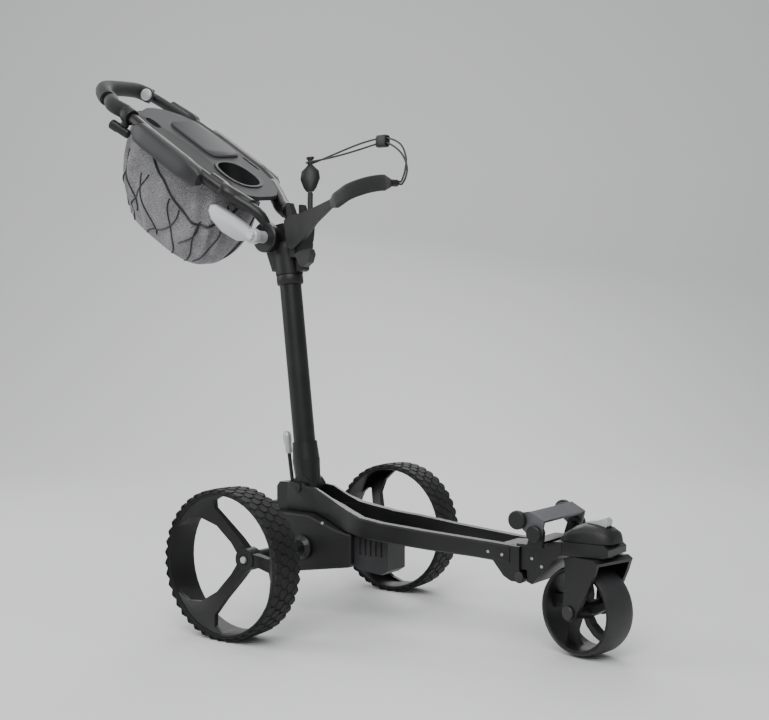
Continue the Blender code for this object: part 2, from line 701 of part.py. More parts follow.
def gripSleeve(path):
    """A thick soft sleeve over the rear of the loop."""
    count = len(path)
    part = path[int(count * 0.345):int(count * 0.625)]
    sleeve = addPiece("grip_sleeve", tube(part, gripRadius, 14, up=handleUp), "grip", "handle")
    wider = path[int(count * 0.345) - 1:int(count * 0.625) + 1]
    combine(sleeve, helper("grip_bore", tube(wider, armRadius + gap, 12, up=handleUp), "handle"), "DIFFERENCE")


def trayOutline(grow=0.0):
    """Outline of the tray in (along, across), round at the front and arched at the rear."""
    half = [(trayFront, 0.020), (trayFront + 0.006, 0.042), (trayFront + 0.030, 0.065),
            (trayFront + 0.080, 0.087), (trayFront + 0.130, 0.0970), (0.330, 0.1000), (0.400, 0.0965),
            (0.445, 0.0880), (0.478, 0.0700), (0.505, 0.0420), (trayRear, 0.0120)]
    outline = [(along, -across - grow) for along, across in half]
    outline += [(along, across + grow) for along, across in reversed(half)]
    return outline


def slab(outline, low, high, shear=True):
    """A plate in the handle's plane from a (along, across) outline."""
    def lift(point, up):
        along = sheared(point[0], point[1]) if shear else point[0]
        return onHandle(along, point[1], up)
    return rings([[lift(point, low) for point in outline], [lift(point, high) for point in outline]])


cupCentre = (0.185, 0.004)
lidCentre = (0.352, 0.038)
lidHalf = (0.088, 0.047)
lidPinAcross = lidCentre[1] + lidHalf[1] + 0.0005


def tray():
    body = addPiece("tray_body", slab(trayOutline(), -0.006, trayThickness - 0.006), "trayGrey", "handle", 25)
    cup = roundedOutline(cupRadiusAlong, cupRadiusAcross, 2.4, 28, cupCentre)
    combine(body, helper("cup_hole", slab(cup, -0.05, 0.05), "handle"), "DIFFERENCE")
    bay = roundedOutline(lidHalf[0] - 0.010, lidHalf[1] - 0.012, 5, 24, lidCentre)
    combine(body, helper("bay_hole", slab(bay, -0.05, 0.05), "handle"), "DIFFERENCE")
    slot = roundedOutline(0.026, 0.011, 2.5, 20, (0.445, -0.050))
    combine(body, helper("phone_slot", slab(slot, -0.05, 0.05), "handle"), "DIFFERENCE")
    teeSlot = roundedOutline(0.030, 0.004, 3, 16, (0.235, 0.088))
    combine(body, helper("tee_slot", slab(teeSlot, -0.05, 0.05), "handle"), "DIFFERENCE")
    for side, label in ((-1, "right"), (1, "left")):
        inside = onHandle(0.250, side * 0.088, 0.001)
        outside = armPoint(side, 0.250, armSpread - 0.0005, 0.0)
        outward = (outside - inside).normalized()
        lug = rod(inside, outside - outward * (armRadius + 0.0010), 0.0050, 14)
        combine(body, helper("tray_lug_" + label, lug, "handle"), "UNION")


def cupHolder():
    wall = 0.0022
    top = trayThickness - 0.006
    outer = [(cupRadiusAlong - gap - 0.0002, cupRadiusAcross - gap - 0.0002, -0.0058),
             (cupRadiusAlong - 0.006, cupRadiusAcross - 0.005, -cupDepth * 0.6),
             (cupRadiusAlong - 0.018, cupRadiusAcross - 0.014, -cupDepth)]
    lip = (cupRadiusAlong + 0.0045, cupRadiusAcross + 0.0045)
    inner = [(cupRadiusAlong - 0.020, cupRadiusAcross - 0.016, -cupDepth + wall),
             (cupRadiusAlong - 0.006 - wall, cupRadiusAcross - 0.005 - wall, -cupDepth * 0.6 + wall),
             (cupRadiusAlong - wall - 0.001, cupRadiusAcross - wall - 0.001, top + 0.0030)]
    levels = [outer[2], outer[1], outer[0], (outer[0][0], outer[0][1], top + gap), (*lip, top + gap),
              (lip[0] - 0.001, lip[1] - 0.001, top + 0.0030), inner[2], inner[1], inner[0]]
    sections = []
    for halfLong, halfWide, up in levels:
        outline = roundedOutline(halfLong, halfWide, 2.4, 28, cupCentre)
        sections.append([onHandle(sheared(*point), point[1], up) for point in outline])
    addPiece("cup_holder", rings(sections), "darkGrey", "handle")


def trayLid():
    top = trayThickness - 0.006
    hingeUp = top + gap / 2
    pinA = onHandle(sheared(lidCentre[0] - lidHalf[0], lidPinAcross), lidPinAcross, hingeUp)
    pinB = onHandle(sheared(lidCentre[0] + lidHalf[0], lidPinAcross), lidPinAcross, hingeUp)
    addFrame("lid", (pinA + pinB) / 2)
    levels = [(0.0, top + gap), (0.0, top + 0.0035), (-0.003, top + 0.0060)]
    sections = []
    for shrink, up in levels:
        outline = roundedOutline(lidHalf[0] + shrink, lidHalf[1] + shrink, 6, 28, lidCentre)
        sections.append([onHandle(sheared(*point), point[1], up) for point in outline])
    addPiece("tray_lid", rings(sections), "trayGrey", "lid", 25)


def armPanel(side, label, path):
    """A long moulded cover under and outside an arm."""
    sections = []
    stations = [(0.170, 0.55), (0.182, 0.85), (0.230, 1.0), (0.370, 1.0), (0.404, 0.93), (0.420, 0.55)]
    for along, size in stations:
        across = armSpread + 0.001
        outline = []
        for y, z in roundedOutline(0.0185 * size, 0.0250 * size, 3.2, 16, (0.0055, -0.010)):
            outline.append(armPoint(side, along, across + y, z))
        sections.append(outline)
    panel = addPiece("arm_panel_" + label, rings(sections), "blackPlastic", "handle", 40)
    count = len(path)
    part = path[:int(count * 0.42)] if side < 0 else path[int(count * 0.58):]
    combine(panel, helper("panel_bore_" + label, tube(part, armRadius + 2 * gap, 12, up=handleUp), "handle"),
            "DIFFERENCE")


netCentre = 0.318
hoopHalf = (0.210, 0.0860)


def netBag():
    """The bag as a thin open shell: a round-cornered rim under the tray that hangs into a soft point."""
    down = Vector((0, 0, -1))

    def level(t, inset):
        size = 1.0 - 0.42 * t ** 2.2
        drop = netDepth * (1 - (1 - t) ** 1.35) - inset * t
        outline = []
        halfLong = (hoopHalf[0] - 0.006 - inset) * size
        halfWide = (hoopHalf[1] - 0.006 - inset) * size * (1 + 0.20 * math.sin(math.pi * min(1, 1.3 * t)))
        for along, across in roundedOutline(halfLong, halfWide, 2.8, 24):
            place = onHandle(netCentre + along, across, -0.0122 - gap)
            outline.append(place + down * drop * 0.78 - handleUp * drop * 0.20 + handleAlong * 0.085 * t)
        return outline
    levels = 6
    outer = [level(index / levels, 0.0) for index in range(levels + 1)]
    inner = [level(index / levels, netWall) for index in range(levels + 1)]
    addPiece("net_bag", rings(list(reversed(outer)) + inner), "mesh", "handle", 60)


def netHoop():
    """A flat plastic rim between the tray and the net, which holds the net up."""
    outer = roundedOutline(*hoopHalf, 2.8, 28, (netCentre, 0.0))
    hoop = addPiece("net_hoop", slab(outer, -0.0122, -0.0063, shear=False), "blackPlastic", "handle", 30)
    cut = roundedOutline(hoopHalf[0] - 0.016, hoopHalf[1] - 0.016, 2.8, 28, (netCentre, 0.0))
    combine(hoop, helper("hoop_hole", slab(cut, -0.02, 0.0, shear=False), "handle"), "DIFFERENCE")


def handleButton(path):
    wanted = armPoint(1, 0.5960, gripHalfWidth - 0.010)
    place = min(path, key=lambda point: (point - wanted).length)
    toward = (-handleAcross * 0.86 + handleAlong * -0.28 + handleUp * 0.30).normalized()
    addFrame("button", place)
    base = place + toward * (gripRadius - 0.0025)
    housing = addPiece("button_housing", solidTurned([(0, 0.004), (0.0178, 0.004), (0.0185, 0.006), (0.0178, 0.011), (0, 0.011)],
                                                     base, toward, 24), "blackPlastic", "handle")
    combine(housing, helper("housing_well", rod(base + toward * 0.0065, base + toward * 0.02, 0.0152, 24), "handle"),
            "DIFFERENCE")
    sleeve = bpy.data.objects["grip_sleeve"]
    combine(sleeve, helper("button_seat", rod(base + toward * (0.004 - gap), base + toward * 0.03, 0.0195, 24),
                           "handle"), "DIFFERENCE")
    button = [(0, 0.0105), (0.0145, 0.0105), (0.0148, 0.0145), (0.0125, 0.0170), (0, 0.0180)]
    addPiece("handle_button", solidTurned(button, base, toward, 24), "silver", "button")
    return toward


def clampAndKnob(path):
    """A ribbed mounting knob on a collar round the right arm, just below the grip."""
    wanted = armPoint(-1, clampAlong, armSpread)
    index = min(range(2, len(path) // 2), key=lambda k: (path[k] - wanted).length)
    centre = path[index]
    along = (path[index + 1] - path[index - 1]).normalized()
    ring = [(armRadius + gap + 0.0004, -0.011), (armRadius + 0.0060, -0.011), (armRadius + 0.0070, -0.009),
            (armRadius + 0.0070, 0.009), (armRadius + 0.0060, 0.011), (armRadius + gap + 0.0004, 0.011)]
    collar = addPiece("accessory_clamp", turned(ring, centre, along, 24), "blackPlastic", "handle")
    out = (Vector((-0.62, -0.20, 0)) - handleUp * 0.62)
    out = (out - along * out.dot(along)).normalized()
    low = centre + out * (armRadius + 0.002)
    stem = helper("clamp_stem", rod(low, centre + out * clampReach, 0.010, 20), "handle")
    combine(collar, stem, "UNION")
    clear = helper("clamp_clear", rod(centre - along * 0.02, centre + along * 0.02, armRadius + gap + 0.0004, 24),
                   "handle")
    combine(collar, clear, "DIFFERENCE")
    turnAxis = Vector((-0.92, -0.30, 0.02))
    turnAxis = (turnAxis - out * turnAxis.dot(out)).normalized()
    knobCentre = centre + out * (clampReach + gap + knobRadius * 0.88)
    addFrame("accessory_knob", knobCentre)
    ribs = 12
    sections = []
    for at, size in ((-0.020, 0.75), (-0.018, 0.88), (0.010, 0.88), (0.012, 1.0), (0.030, 1.0), (0.032, 0.86)):
        side = turnAxis.cross(Vector((0, 0, 1))).normalized()
        lift = side.cross(turnAxis)
        section = []
        for step in range(ribs * 2):
            angle = math.pi * step / ribs
            radius = knobRadius * size * (1.0 if step % 2 else 0.90)
            section.append(knobCentre + turnAxis * at + (side * math.cos(angle) + lift * math.sin(angle)) * radius)
        sections.append(section)
    addPiece("accessory_knob", rings(sections), "blackPlastic", "accessory_knob", 30)
    return turnAxis


def tiltLever():
    """Broad clamping lever beside the handle's pivot, lying along the arm."""
    inner = leverOffset
    addFrame("tilt_lever", handlePivot)
    thickness = 0.016
    outline = [(0.014, -0.018), (0.034, -0.030), (0.080, -0.034), (0.122, -0.026), (0.140, -0.013),
               (0.142, 0.001), (0.128, 0.010), (0.080, 0.0120), (0.030, 0.0120), (0.014, 0.0100)]
    outline += arc((0, 0), 0.0170, 40, 300, 9)
    points = [handlePivot + handleAlong * along + handleFlatUp * (up - 0.004 * along / 0.14) for along, up in outline]
    build = plate([(p.x, p.z) for p in points], -inner - thickness, -inner)
    bmesh.ops.recalc_face_normals(build, faces=build.faces)
    rims = [edge for edge in build.edges
            if abs(edge.verts[0].co.y + inner + thickness) < 1e-6 and abs(edge.verts[1].co.y + inner + thickness) < 1e-6]
    bmesh.ops.bevel(build, geom=rims, offset=0.004, segments=3, affect="EDGES", profile=0.5)
    lever = addPiece("tilt_lever", build, "silver", "tilt_lever", 40)
    boss = rod(handlePivot - Vector((0, coreHalfWidth + discThickness + 2 * gap, 0)),
               handlePivot - Vector((0, inner + thickness / 2, 0)), 0.0135, 24)
    combine(lever, helper("lever_boss", boss, "tilt_lever"), "UNION")
    hole = rod(handlePivot + Vector((0, -0.2, 0)), handlePivot + Vector((0, 0.2, 0)), foldPinRadius + gap)
    combine(lever, helper("lever_hole", hole, "tilt_lever"), "DIFFERENCE")
    left = coreHalfWidth + gap + discThickness
    right = inner + thickness
    profile = [(0, -right - 0.005), (0.0085, -right - 0.005), (0.0100, -right - 0.003), (0.0100, -right - gap),
               (foldPinRadius, -right - gap), (foldPinRadius, left + gap), (0.0125, left + gap),
               (0.0125, left + 0.006), (0, left + 0.006)]
    addPiece("handle_bolt", solidTurned(profile, handlePivot, (0, 1, 0), 20), "blackMetal", "mast")


# ---- upper bag cradle ---------------------------------------------------------------------------
def cradle():
    start = collarAt + collarLength
    face = 0.0300 + gap
    outline = [(face, start + 0.034), (face + 0.012, start + 0.030), (face + 0.020, start + 0.060),
               (face + 0.020, start + 0.115), (face + 0.010, start + 0.150), (face + 0.002, start + 0.150),
               (face, start + 0.120)]
    points = [onMast(ahead, 0, along) for ahead, along in outline]
    base = addPiece("cradle_base", plate([(p.x, p.z) for p in points], -cradleHalfWidth, cradleHalfWidth),
                    "blackPlastic", "mast", 30)
    earClear = helper("cradle_waist", plate([(p.x, p.z) for p in (onMast(face + 0.006, 0, start + 0.088),
                                                                 onMast(face + 0.05, 0, start + 0.088),
                                                                 onMast(face + 0.05, 0, start + 0.17),
                                                                 onMast(face - 0.02, 0, start + 0.17),
                                                                 onMast(face - 0.02, 0, start + 0.128))],
                                           -0.012, 0.012), "mast")
    combine(base, earClear, "DIFFERENCE")
    addFrame("cradle", onMast(face + 0.010, 0, start + 0.080))
    nearArm(start, face)
    farPaddle(start, face)


def nearArm(start, face):
    """Deep web arm on the right, which carries the strap forward."""
    stations = [(0.0140, -0.0300, 0.052, 0.112, 0.006), (0.0320, -0.0300, 0.046, 0.118, 0.006), (0.075, -0.046, 0.060, 0.116, 0.0055),
                (0.130, -0.070, 0.084, 0.116, 0.005), (0.185, -0.086, 0.104, 0.121, 0.0045),
                (0.222, -0.090, 0.115, 0.128, 0.004)]
    sections = []
    for ahead, aside, low, high, half in stations:
        sections.append([onMast(ahead + face - 0.012, aside - gap - half * 2, start + low),
                         onMast(ahead + face - 0.012, aside - gap - half * 2, start + high),
                         onMast(ahead + face - 0.012, aside - gap, start + high),
                         onMast(ahead + face - 0.012, aside - gap, start + low)])
    addPiece("cradle_arm_right", rings(sections), "blackPlastic", "cradle", 30)


def farPaddle(start, face):
    """Upright stem and padded leaf on the left."""
    stemPath = smoothPath([onMast(face + 0.008, cradleHalfWidth + 0.0065 + gap, start + 0.070),
                           onMast(face + 0.010, 0.044, start + 0.105),
                           onMast(face - 0.005, 0.062, start + 0.150),
                           onMast(face - 0.014, 0.078, start + 0.185)], 4)
    addPiece("cradle_arm_left", tube(stemPath, 0.0062, 10, up=(0, 1, 0)), "blackPlastic", "cradle")
    pin = stemPath[-1]
    sections = []
    for t, halfWide, thick in ((0.0, 0.008, 0.006), (0.010, 0.015, 0.009), (0.030, 0.0225, 0.010),
                               (0.048, 0.0200, 0.009), (0.058, 0.0095, 0.0065), (0.063, 0.0055, 0.0045),
                               (0.073, 0.0055, 0.0045), (0.077, 0.0095, 0.0065), (0.081, 0.0085, 0.0055)):
        centre = pin + mastUp * (t + 0.0034) + Vector((0, 0.010 * t / 0.07, 0))
        outline = []
        for k in range(12):
            angle = 2 * math.pi * k / 12
            outline.append(centre + (mastFront * 0.80 + Vector((0, 0.60, 0))) * (math.cos(angle) * halfWide)
                           + (Vector((0, 0.80, 0)) - mastFront * 0.60) * (math.sin(angle) * thick))
        sections.append(outline)
    addPiece("cradle_paddle_left", rings(sections), "blackPlastic", "cradle", 50)


def cradleLever():
    """Rounded release lever under the right arm of the cradle."""
    start = collarAt + collarLength
    heelRadius = 0.0056
    pinAhead = 0.0496
    pin = onMast(pinAhead, -0.0225, start + 0.0335)
    addFrame("cradle_lever", pin)
    heel = [(pinAhead + heelRadius * math.cos(angle), 0.0335 + heelRadius * math.sin(angle))
            for angle in (math.radians(95 + 42.5 * k) for k in range(5))]
    outline = heel + [(0.0530, 0.0140), (0.0650, 0.0060), (0.0810, 0.0140), (0.0890, 0.0300),
                      (0.0860, 0.0420), (0.0690, 0.0440)]
    points = [onMast(ahead, 0, start + along) for ahead, along in outline]
    addPiece("cradle_lever", plate([(p.x, p.z) for p in points], -0.0325, -0.0130), "darkGrey", "cradle_lever", 40)


# ---- strap and elastic cords --------------------------------------------------------------------
strapPath = [(0.105, -0.0985, 0.8580), (0.128, -0.1013, 0.8680), (0.152, -0.0996, 0.8800),
             (0.178, -0.0830, 0.8910), (0.196, -0.0580, 0.8980), (0.205, -0.0320, 0.9000)]
cordPath = [(0.2130, -0.0140, 0.9040), (0.2146, -0.0070, 0.9060), (0.2130, 0.0080, 0.9300),
            (0.2040, 0.0240, 0.9590), (0.1780, 0.0420, 0.9900), (0.1342, 0.0601, 1.0093),
            (0.0958, 0.0709, 1.0127), (0.0480, 0.0820, 1.0100), (0.0000, 0.0910, 1.0030),
            (-0.0500, 0.0965, 0.9930), (-0.0860, 0.0980, 0.9850), (-0.1022, 0.0972, 0.9815),
            (-0.1117, 0.0877, 0.9810), (-0.1022, 0.0782, 0.9808), (-0.0860, 0.0770, 0.9815),
            (-0.0500, 0.0785, 0.9840), (0.0000, 0.0800, 0.9900), (0.0480, 0.0765, 0.9960),
            (0.0958, 0.0709, 1.0017), (0.1342, 0.0601, 0.9983), (0.1860, 0.0330, 0.9700),
            (0.2120, 0.0160, 0.9380), (0.2185, 0.0020, 0.9140), (0.2162, -0.0070, 0.9000),
            (0.2140, -0.0140, 0.8988)]
lockCentre = Vector((0.1150, 0.0655, 1.0055))
lockAlong = Vector((-0.96, 0.27, 0.06)).normalized()


def bagStrap():
    sections = []
    path = smoothPath(strapPath, 4)
    for index, place in enumerate(path):
        ahead = (path[min(index + 1, len(path) - 1)] - path[max(index - 1, 0)]).normalized()
        out = ahead.cross(Vector((0, 0, 1))).normalized()
        lift = out.cross(ahead).normalized()
        wide = 0.0120
        thick = 0.0022
        sections.append([place + out * thick + lift * wide, place - out * thick + lift * wide,
                         place - out * thick - lift * wide, place + out * thick - lift * wide])
    addPiece("bag_strap", rings(sections), "grip", "cradle", 40)
    return path


def cordLock():
    """A sprung toggle that both strands of the cord pass through."""
    out = lockAlong.cross(Vector((0, 0, 1))).normalized()
    lift = out.cross(lockAlong).normalized()
    sections = []
    for at, size in ((-0.016, 0.86), (-0.013, 1.0), (0.013, 1.0), (0.016, 0.86)):
        sections.append([lockCentre + lockAlong * at + out * y + lift * z
                         for y, z in roundedOutline(0.0080 * size, 0.0135 * size, 4, 16)])
    lock = addPiece("cord_lock", rings(sections), "darkGrey", "cradle", 40)
    for side in (-1, 1):
        middle = lockCentre + Vector((0, 0, side * 0.0055))
        hole = rod(middle - lockAlong * 0.03, middle + lockAlong * 0.03, cordRadius + 0.0028, 12)
        combine(lock, helper("lock_hole_%d" % (side + 1), hole, "cradle"), "DIFFERENCE")


def cordClip(path):
    """The crimp that joins both ends of the cord to the strap."""
    ahead = (path[-1] - path[-2]).normalized()
    end = path[-1] + ahead * gap
    clip = rod(end, end + ahead * 0.017, 0.0075, 14, chamfer=0.001)
    addPiece("cord_clip", clip, "blackPlastic", "cradle", 40)


def elasticCord(name, route):
    curve = bpy.data.curves.new(name, "CURVE")
    curve.dimensions = "3D"
    curve.bevel_depth = cordRadius
    curve.bevel_resolution = 2
    curve.use_fill_caps = True
    spline = curve.splines.new("POLY")
    path = smoothPath(route, 2)
    spline.points.add(len(path) - 1)
    origin = frames["cradle"].location
    for point, place in zip(spline.points, path):
        point.co = (*(place - origin), 1.0)
    cord = bpy.data.objects.new(name, curve)
    bpy.context.collection.objects.link(cord)
    cord.parent = frames["cradle"]
    giveMaterial(cord, "grip")


# ---- folding nose, bag rest and caster ----------------------------------------------------------
def nose():
    top = 0.2030
    pin = (railEndAhead, nosePinHeight)
    outline = [(railEndAhead + gap, nosePinHeight + noseKnuckle + runGap), (railEndAhead + gap, top - 0.002),
               (0.560, top), (0.585, 0.214), (casterAhead + 0.020, 0.214),
               (casterAhead + 0.030, 0.206), (casterAhead + 0.030, 0.1935), (casterAhead + 0.018, 0.1895),
               (0.598, 0.1895), (0.588, 0.186), (0.580, 0.174), (0.569, 0.162), (0.555, 0.148),
               (0.540, 0.1295), (railEndAhead + noseKnuckle + runGap, 0.1335),
               (railEndAhead + noseKnuckle + runGap, nosePinHeight + noseKnuckle + runGap)]
    halfWidth = 0.050
    arm = addPiece("nose_arm", plate(outline, -halfWidth, halfWidth), "blackMetal", "nose", 30)
    tongue = arc(pin, noseKnuckle, 60, 300, 10)
    tongue += [(railEndAhead + 0.022, 0.1335), (railEndAhead + 0.022, nosePinHeight + 0.016)]
    combine(arm, helper("tongue", plate(tongue, -noseTongue, noseTongue), "nose"), "UNION")
    combine(arm, helper("tongue_hole", rod((railEndAhead, -0.1, nosePinHeight), (railEndAhead, 0.1, nosePinHeight),
                                           foldPinRadius + gap), "nose"), "DIFFERENCE")
    combine(arm, helper("post_bore", rod((casterAhead, 0, 0.17), (casterAhead, 0, 0.30), postRadius + runGap, 24),
                        "nose"), "DIFFERENCE")
    for side in (-1, 1):
        taper = [(0.600, side * 0.10), (0.600, side * 0.0485), (0.650, side * 0.0400), (0.760, side * 0.0380),
                 (0.760, side * 0.10)]
        combine(arm, helper("nose_taper_%d" % (side + 1), plate(taper, 0.10, 0.30, axis="Z"), "nose"), "DIFFERENCE")


def noseCover():
    """Rounded shell over the swivel head."""
    bottom = 0.2140 + gap
    sections = []
    for ahead, half, high in ((0.588, 0.030, 0.0060), (0.594, 0.036, 0.0150), (0.612, 0.0400, 0.0270),
                              (0.635, 0.0385, 0.0350), (0.655, 0.0370, 0.0330), (0.672, 0.0350, 0.0290),
                              (0.684, 0.0300, 0.0220), (0.690, 0.0200, 0.0110)):
        low = bottom
        section = []
        for step in range(11):
            angle = math.pi * step / 10
            section.append(Vector((ahead, half * math.cos(angle) * 1.0,
                                   low + high * math.sin(angle) ** 0.55 if 0 < step < 10 else low)))
        sections.append(section)
    cover = addPiece("nose_cover", rings(sections), "blackPlastic", "nose", 45)
    combine(cover, helper("cover_hollow", rod((casterAhead, 0, 0.20), (casterAhead, 0, bottom + 0.018), 0.020, 24),
                          "nose"), "DIFFERENCE")
    seat = catchPin
    combine(cover, helper("catch_seat", block((seat.x - 0.0357, -0.0115, seat.z - 0.006), (seat.x + 0.0106, 0.0115, 0.30)),
                          "nose"), "DIFFERENCE")


catchPin = Vector((0.664, 0, 0.2440))


def wheelCatch():
    addFrame("catch", catchPin)
    outline = [(catchPin.x + 0.003, catchPin.z - 0.005), (catchPin.x + 0.0085, catchPin.z + 0.001),
               (catchPin.x + 0.010, catchPin.z + 0.010),
               (catchPin.x + 0.004, catchPin.z + 0.015), (catchPin.x - 0.010, catchPin.z + 0.010),
               (catchPin.x - 0.034, catchPin.z + 0.006), (catchPin.x - 0.034, catchPin.z + 0.001),
               (catchPin.x - 0.012, catchPin.z - 0.0055)]
    addPiece("wheel_catch", plate(outline, -0.0108, 0.0108), "silver", "catch", 40)


def bagRest():
    top = 0.2030 + gap
    half = restHalfWidth
    ear = 0.009
    base = addPiece("rest_bracket", block((restRearAhead, gap - half, top), (restRearAhead + restFootLength, half - gap, top + 0.005)),
                    "blackPlastic", "nose", 30)
    for side, label in ((-1, "right"), (1, "left")):
        ears = [(restPinAhead - 0.022, top), (restPinAhead + 0.010, top)]
        ears += arc((restPinAhead, restPinHeight), 0.013, 10, 160, 7)
        ears += [(restPinAhead - 0.019, top + 0.012)]
        low = half - gap - ear if side > 0 else gap - half
        combine(base, helper("rest_ear_" + label, plate(ears, low, low + ear), "nose"), "UNION")
    hole = rod((restPinAhead, -0.1, restPinHeight), (restPinAhead, 0.1, restPinHeight), 0.004 + gap, 16)
    combine(base, helper("rest_hole", hole, "nose"), "DIFFERENCE")
    addFrame("rest", Vector((restPinAhead, 0, restPinHeight)))
    link = 0.006
    inner = half + runGap
    plateOutline = [(restPinAhead + x, restPinHeight + z) for x, z in
                    ((-0.015, 0.0350), (-0.011, 0.0395), (0.018, 0.0240), (0.014, 0.0190))]
    rocker = addPiece("rest_plate", plate(plateOutline, -inner - link * 0.5, inner + link * 0.5), "silver", "rest", 30)
    for side, label in ((-1, "right"), (1, "left")):
        low = side * inner
        high = side * (inner + link)
        outline = arc((restRollerAhead, restRollerHeight), 0.0125, 90, 270, 8)
        outline += arc((restPinAhead, restPinHeight), 0.0125, 240, 360, 6)
        outline += [(restPinAhead + 0.017, restPinHeight + 0.0180), (restPinAhead + 0.018, restPinHeight + 0.0240),
                    (restPinAhead - 0.011, restPinHeight + 0.0395)]
        combine(rocker, helper("rest_link_" + label, plate(outline, min(low, high), max(low, high)), "rest"), "UNION")
        for ahead, height, name in ((restPinAhead, restPinHeight, "pin"), (restRollerAhead, restRollerHeight, "roller")):
            cut = rod((ahead, side * 0.05, height), (ahead, side * 0.09, height), 0.004 + gap, 16)
            combine(rocker, helper("rest_%s_hole_%s" % (name, label), cut, "rest"), "DIFFERENCE")
        face = side * (inner + link)
        bolt = [(0, -0.0295), (0.004, -0.0295), (0.004, gap), (0.0140, gap), (0.0150, 0.002), (0.0150, 0.008),
                (0.0125, 0.0105), (0, 0.0105)]
        addPiece("rest_knob_" + label, solidTurned(bolt, Vector((restPinAhead, face, restPinHeight)), (0, side, 0), 24),
                 "blackPlastic", "rest", 40)
        roller = [(0, -0.008), (0.004, -0.008), (0.004, gap), (0.0150, gap), (0.0175, 0.003), (0.0175, 0.011),
                  (0.0150, 0.014), (0, 0.014)]
        addPiece("rest_roller_" + label,
                 solidTurned(roller, Vector((restRollerAhead, face, restRollerHeight)), (0, side, 0), 24),
                 "grip", "rest", 40)


def caster():
    swivel = Vector((casterAhead, 0, 0.0))
    turn = Matrix.Rotation(math.radians(casterTurn), 4, "Z")

    def place(x, y, z):
        return swivel + turn @ Vector((x, y, z))

    def turnedBuild(build):
        bmesh.ops.transform(build, verts=build.verts, matrix=Matrix.Translation(swivel) @ turn)
        return build

    addFrame("fork", Vector((casterAhead, 0, 0.19)))
    addFrame("caster_wheel", place(-casterTrail, 0, casterRadius))
    half = casterWidth / 2 + forkClearance
    crownLow = 0.1745
    crownTop = 0.1885 - gap
    outline = [(-0.046, crownLow), (-0.050, crownTop - 0.006), (-0.036, crownTop), (0.020, crownTop),
               (0.030, crownTop - 0.006), (0.028, crownLow + 0.002), (0.010, crownLow)]
    fork = addPiece("caster_fork", turnedBuild(plate(outline, -half - forkArmThickness, half + forkArmThickness)),
                    "blackMetal", "fork", 30)
    for side, label in ((-1, "right"), (1, "left")):
        arm = arc((-casterTrail, casterRadius), 0.0165, 150, 330, 9)
        arm += [(0.008, 0.130), (0.022, 0.160), (0.0285, crownLow + 0.004), (0.020, crownLow + 0.010),
                (-0.036, crownLow + 0.010), (-0.046, crownLow + 0.002), (-0.046, 0.140)]
        low = min(side * half, side * (half + forkArmThickness))
        build = turnedBuild(plate(arm, low, low + forkArmThickness))
        combine(fork, helper("fork_arm_" + label, build, "fork"), "UNION")
    combine(fork, helper("swivel_post", rod((casterAhead, 0, crownLow + 0.004), (casterAhead, 0, 0.2235), postRadius, 24),
                         "fork"), "UNION")
    combine(fork, helper("fork_washer", rod((casterAhead, 0, crownTop - 0.002), (casterAhead, 0, 0.1895 - gap), 0.022, 24),
                         "fork"), "UNION")
    hole = rod(place(-casterTrail, -0.1, casterRadius), place(-casterTrail, 0.1, casterRadius), casterAxleRadius + gap, 18)
    combine(fork, helper("fork_hole", hole, "fork"), "DIFFERENCE")

    across = turn @ Vector((0, 1, 0))
    reach = half + forkArmThickness
    axle = [(0, -reach - 0.006), (0.0110, -reach - 0.006), (0.0130, -reach - 0.004), (0.0130, -reach - gap),
            (casterAxleRadius, -reach - gap), (casterAxleRadius, reach + gap), (0.0130, reach + gap),
            (0.0130, reach + 0.004), (0.0110, reach + 0.006), (0, reach + 0.006)]
    centre = place(-casterTrail, 0, casterRadius)
    addPiece("caster_axle", solidTurned(axle, centre, across, 20), "blackPlastic", "fork", 40)
    halfTyre = casterWidth / 2
    inner = casterRadius - 0.0085
    tread = [(inner, -halfTyre + 0.004), (inner + 0.003, -halfTyre + 0.001), (casterRadius - 0.0035, -halfTyre + 0.005),
             (casterRadius - 0.0010, -halfTyre + 0.013)]
    tread += [(casterRadius, 0)]
    tread += [(radius, -along) for radius, along in reversed(tread[:-1])]
    addPiece("tyre_caster", turned(tread, centre, across, 48), "tyre", "caster_wheel")
    outer = inner - gap
    barrel = [(outer, -halfTyre + 0.004), (outer, halfTyre - 0.004), (outer - 0.0035, halfTyre - 0.004),
              (outer - 0.0035, -halfTyre + 0.004)]
    rim = addPiece("rim_caster", turned(barrel, centre, across, 48), "blackMetal", "caster_wheel")
    hub = [(casterAxleRadius + runGap, -halfTyre - forkClearance + runGap), (0.0135, -halfTyre - forkClearance + runGap),
           (0.0165, -0.010), (0.0165, 0.010), (0.0135, halfTyre + forkClearance - runGap),
           (casterAxleRadius + runGap, halfTyre + forkClearance - runGap)]
    combine(rim, helper("caster_hub", turned(hub, centre, across, 28), "caster_wheel"), "UNION")
    forward = turn @ Vector((1, 0, 0))
    for number in range(5):
        sections = []
        for radius, lag, aside, halfAngle in ((0.013, 0.0, 0.0, 0.42), (0.030, 0.12, 0.0, 0.21), (0.050, 0.30, 0.0, 0.14),
                                              (0.066, 0.48, 0.0, 0.15), (outer - 0.0015, 0.58, 0.0, 0.20)):
            section = []
            for turnBy, offset in ((-halfAngle, -0.009), (halfAngle, -0.009), (halfAngle, 0.009), (-halfAngle, 0.009)):
                angle = 2 * math.pi * number / 5 + lag + turnBy
                section.append(centre + forward * (radius * math.cos(angle)) + Vector((0, 0, radius * math.sin(angle)))
                               + across * (offset + aside))
            sections.append(section)
        combine(rim, helper("caster_spoke_%d" % number, rings(sections), "caster_wheel"), "UNION")


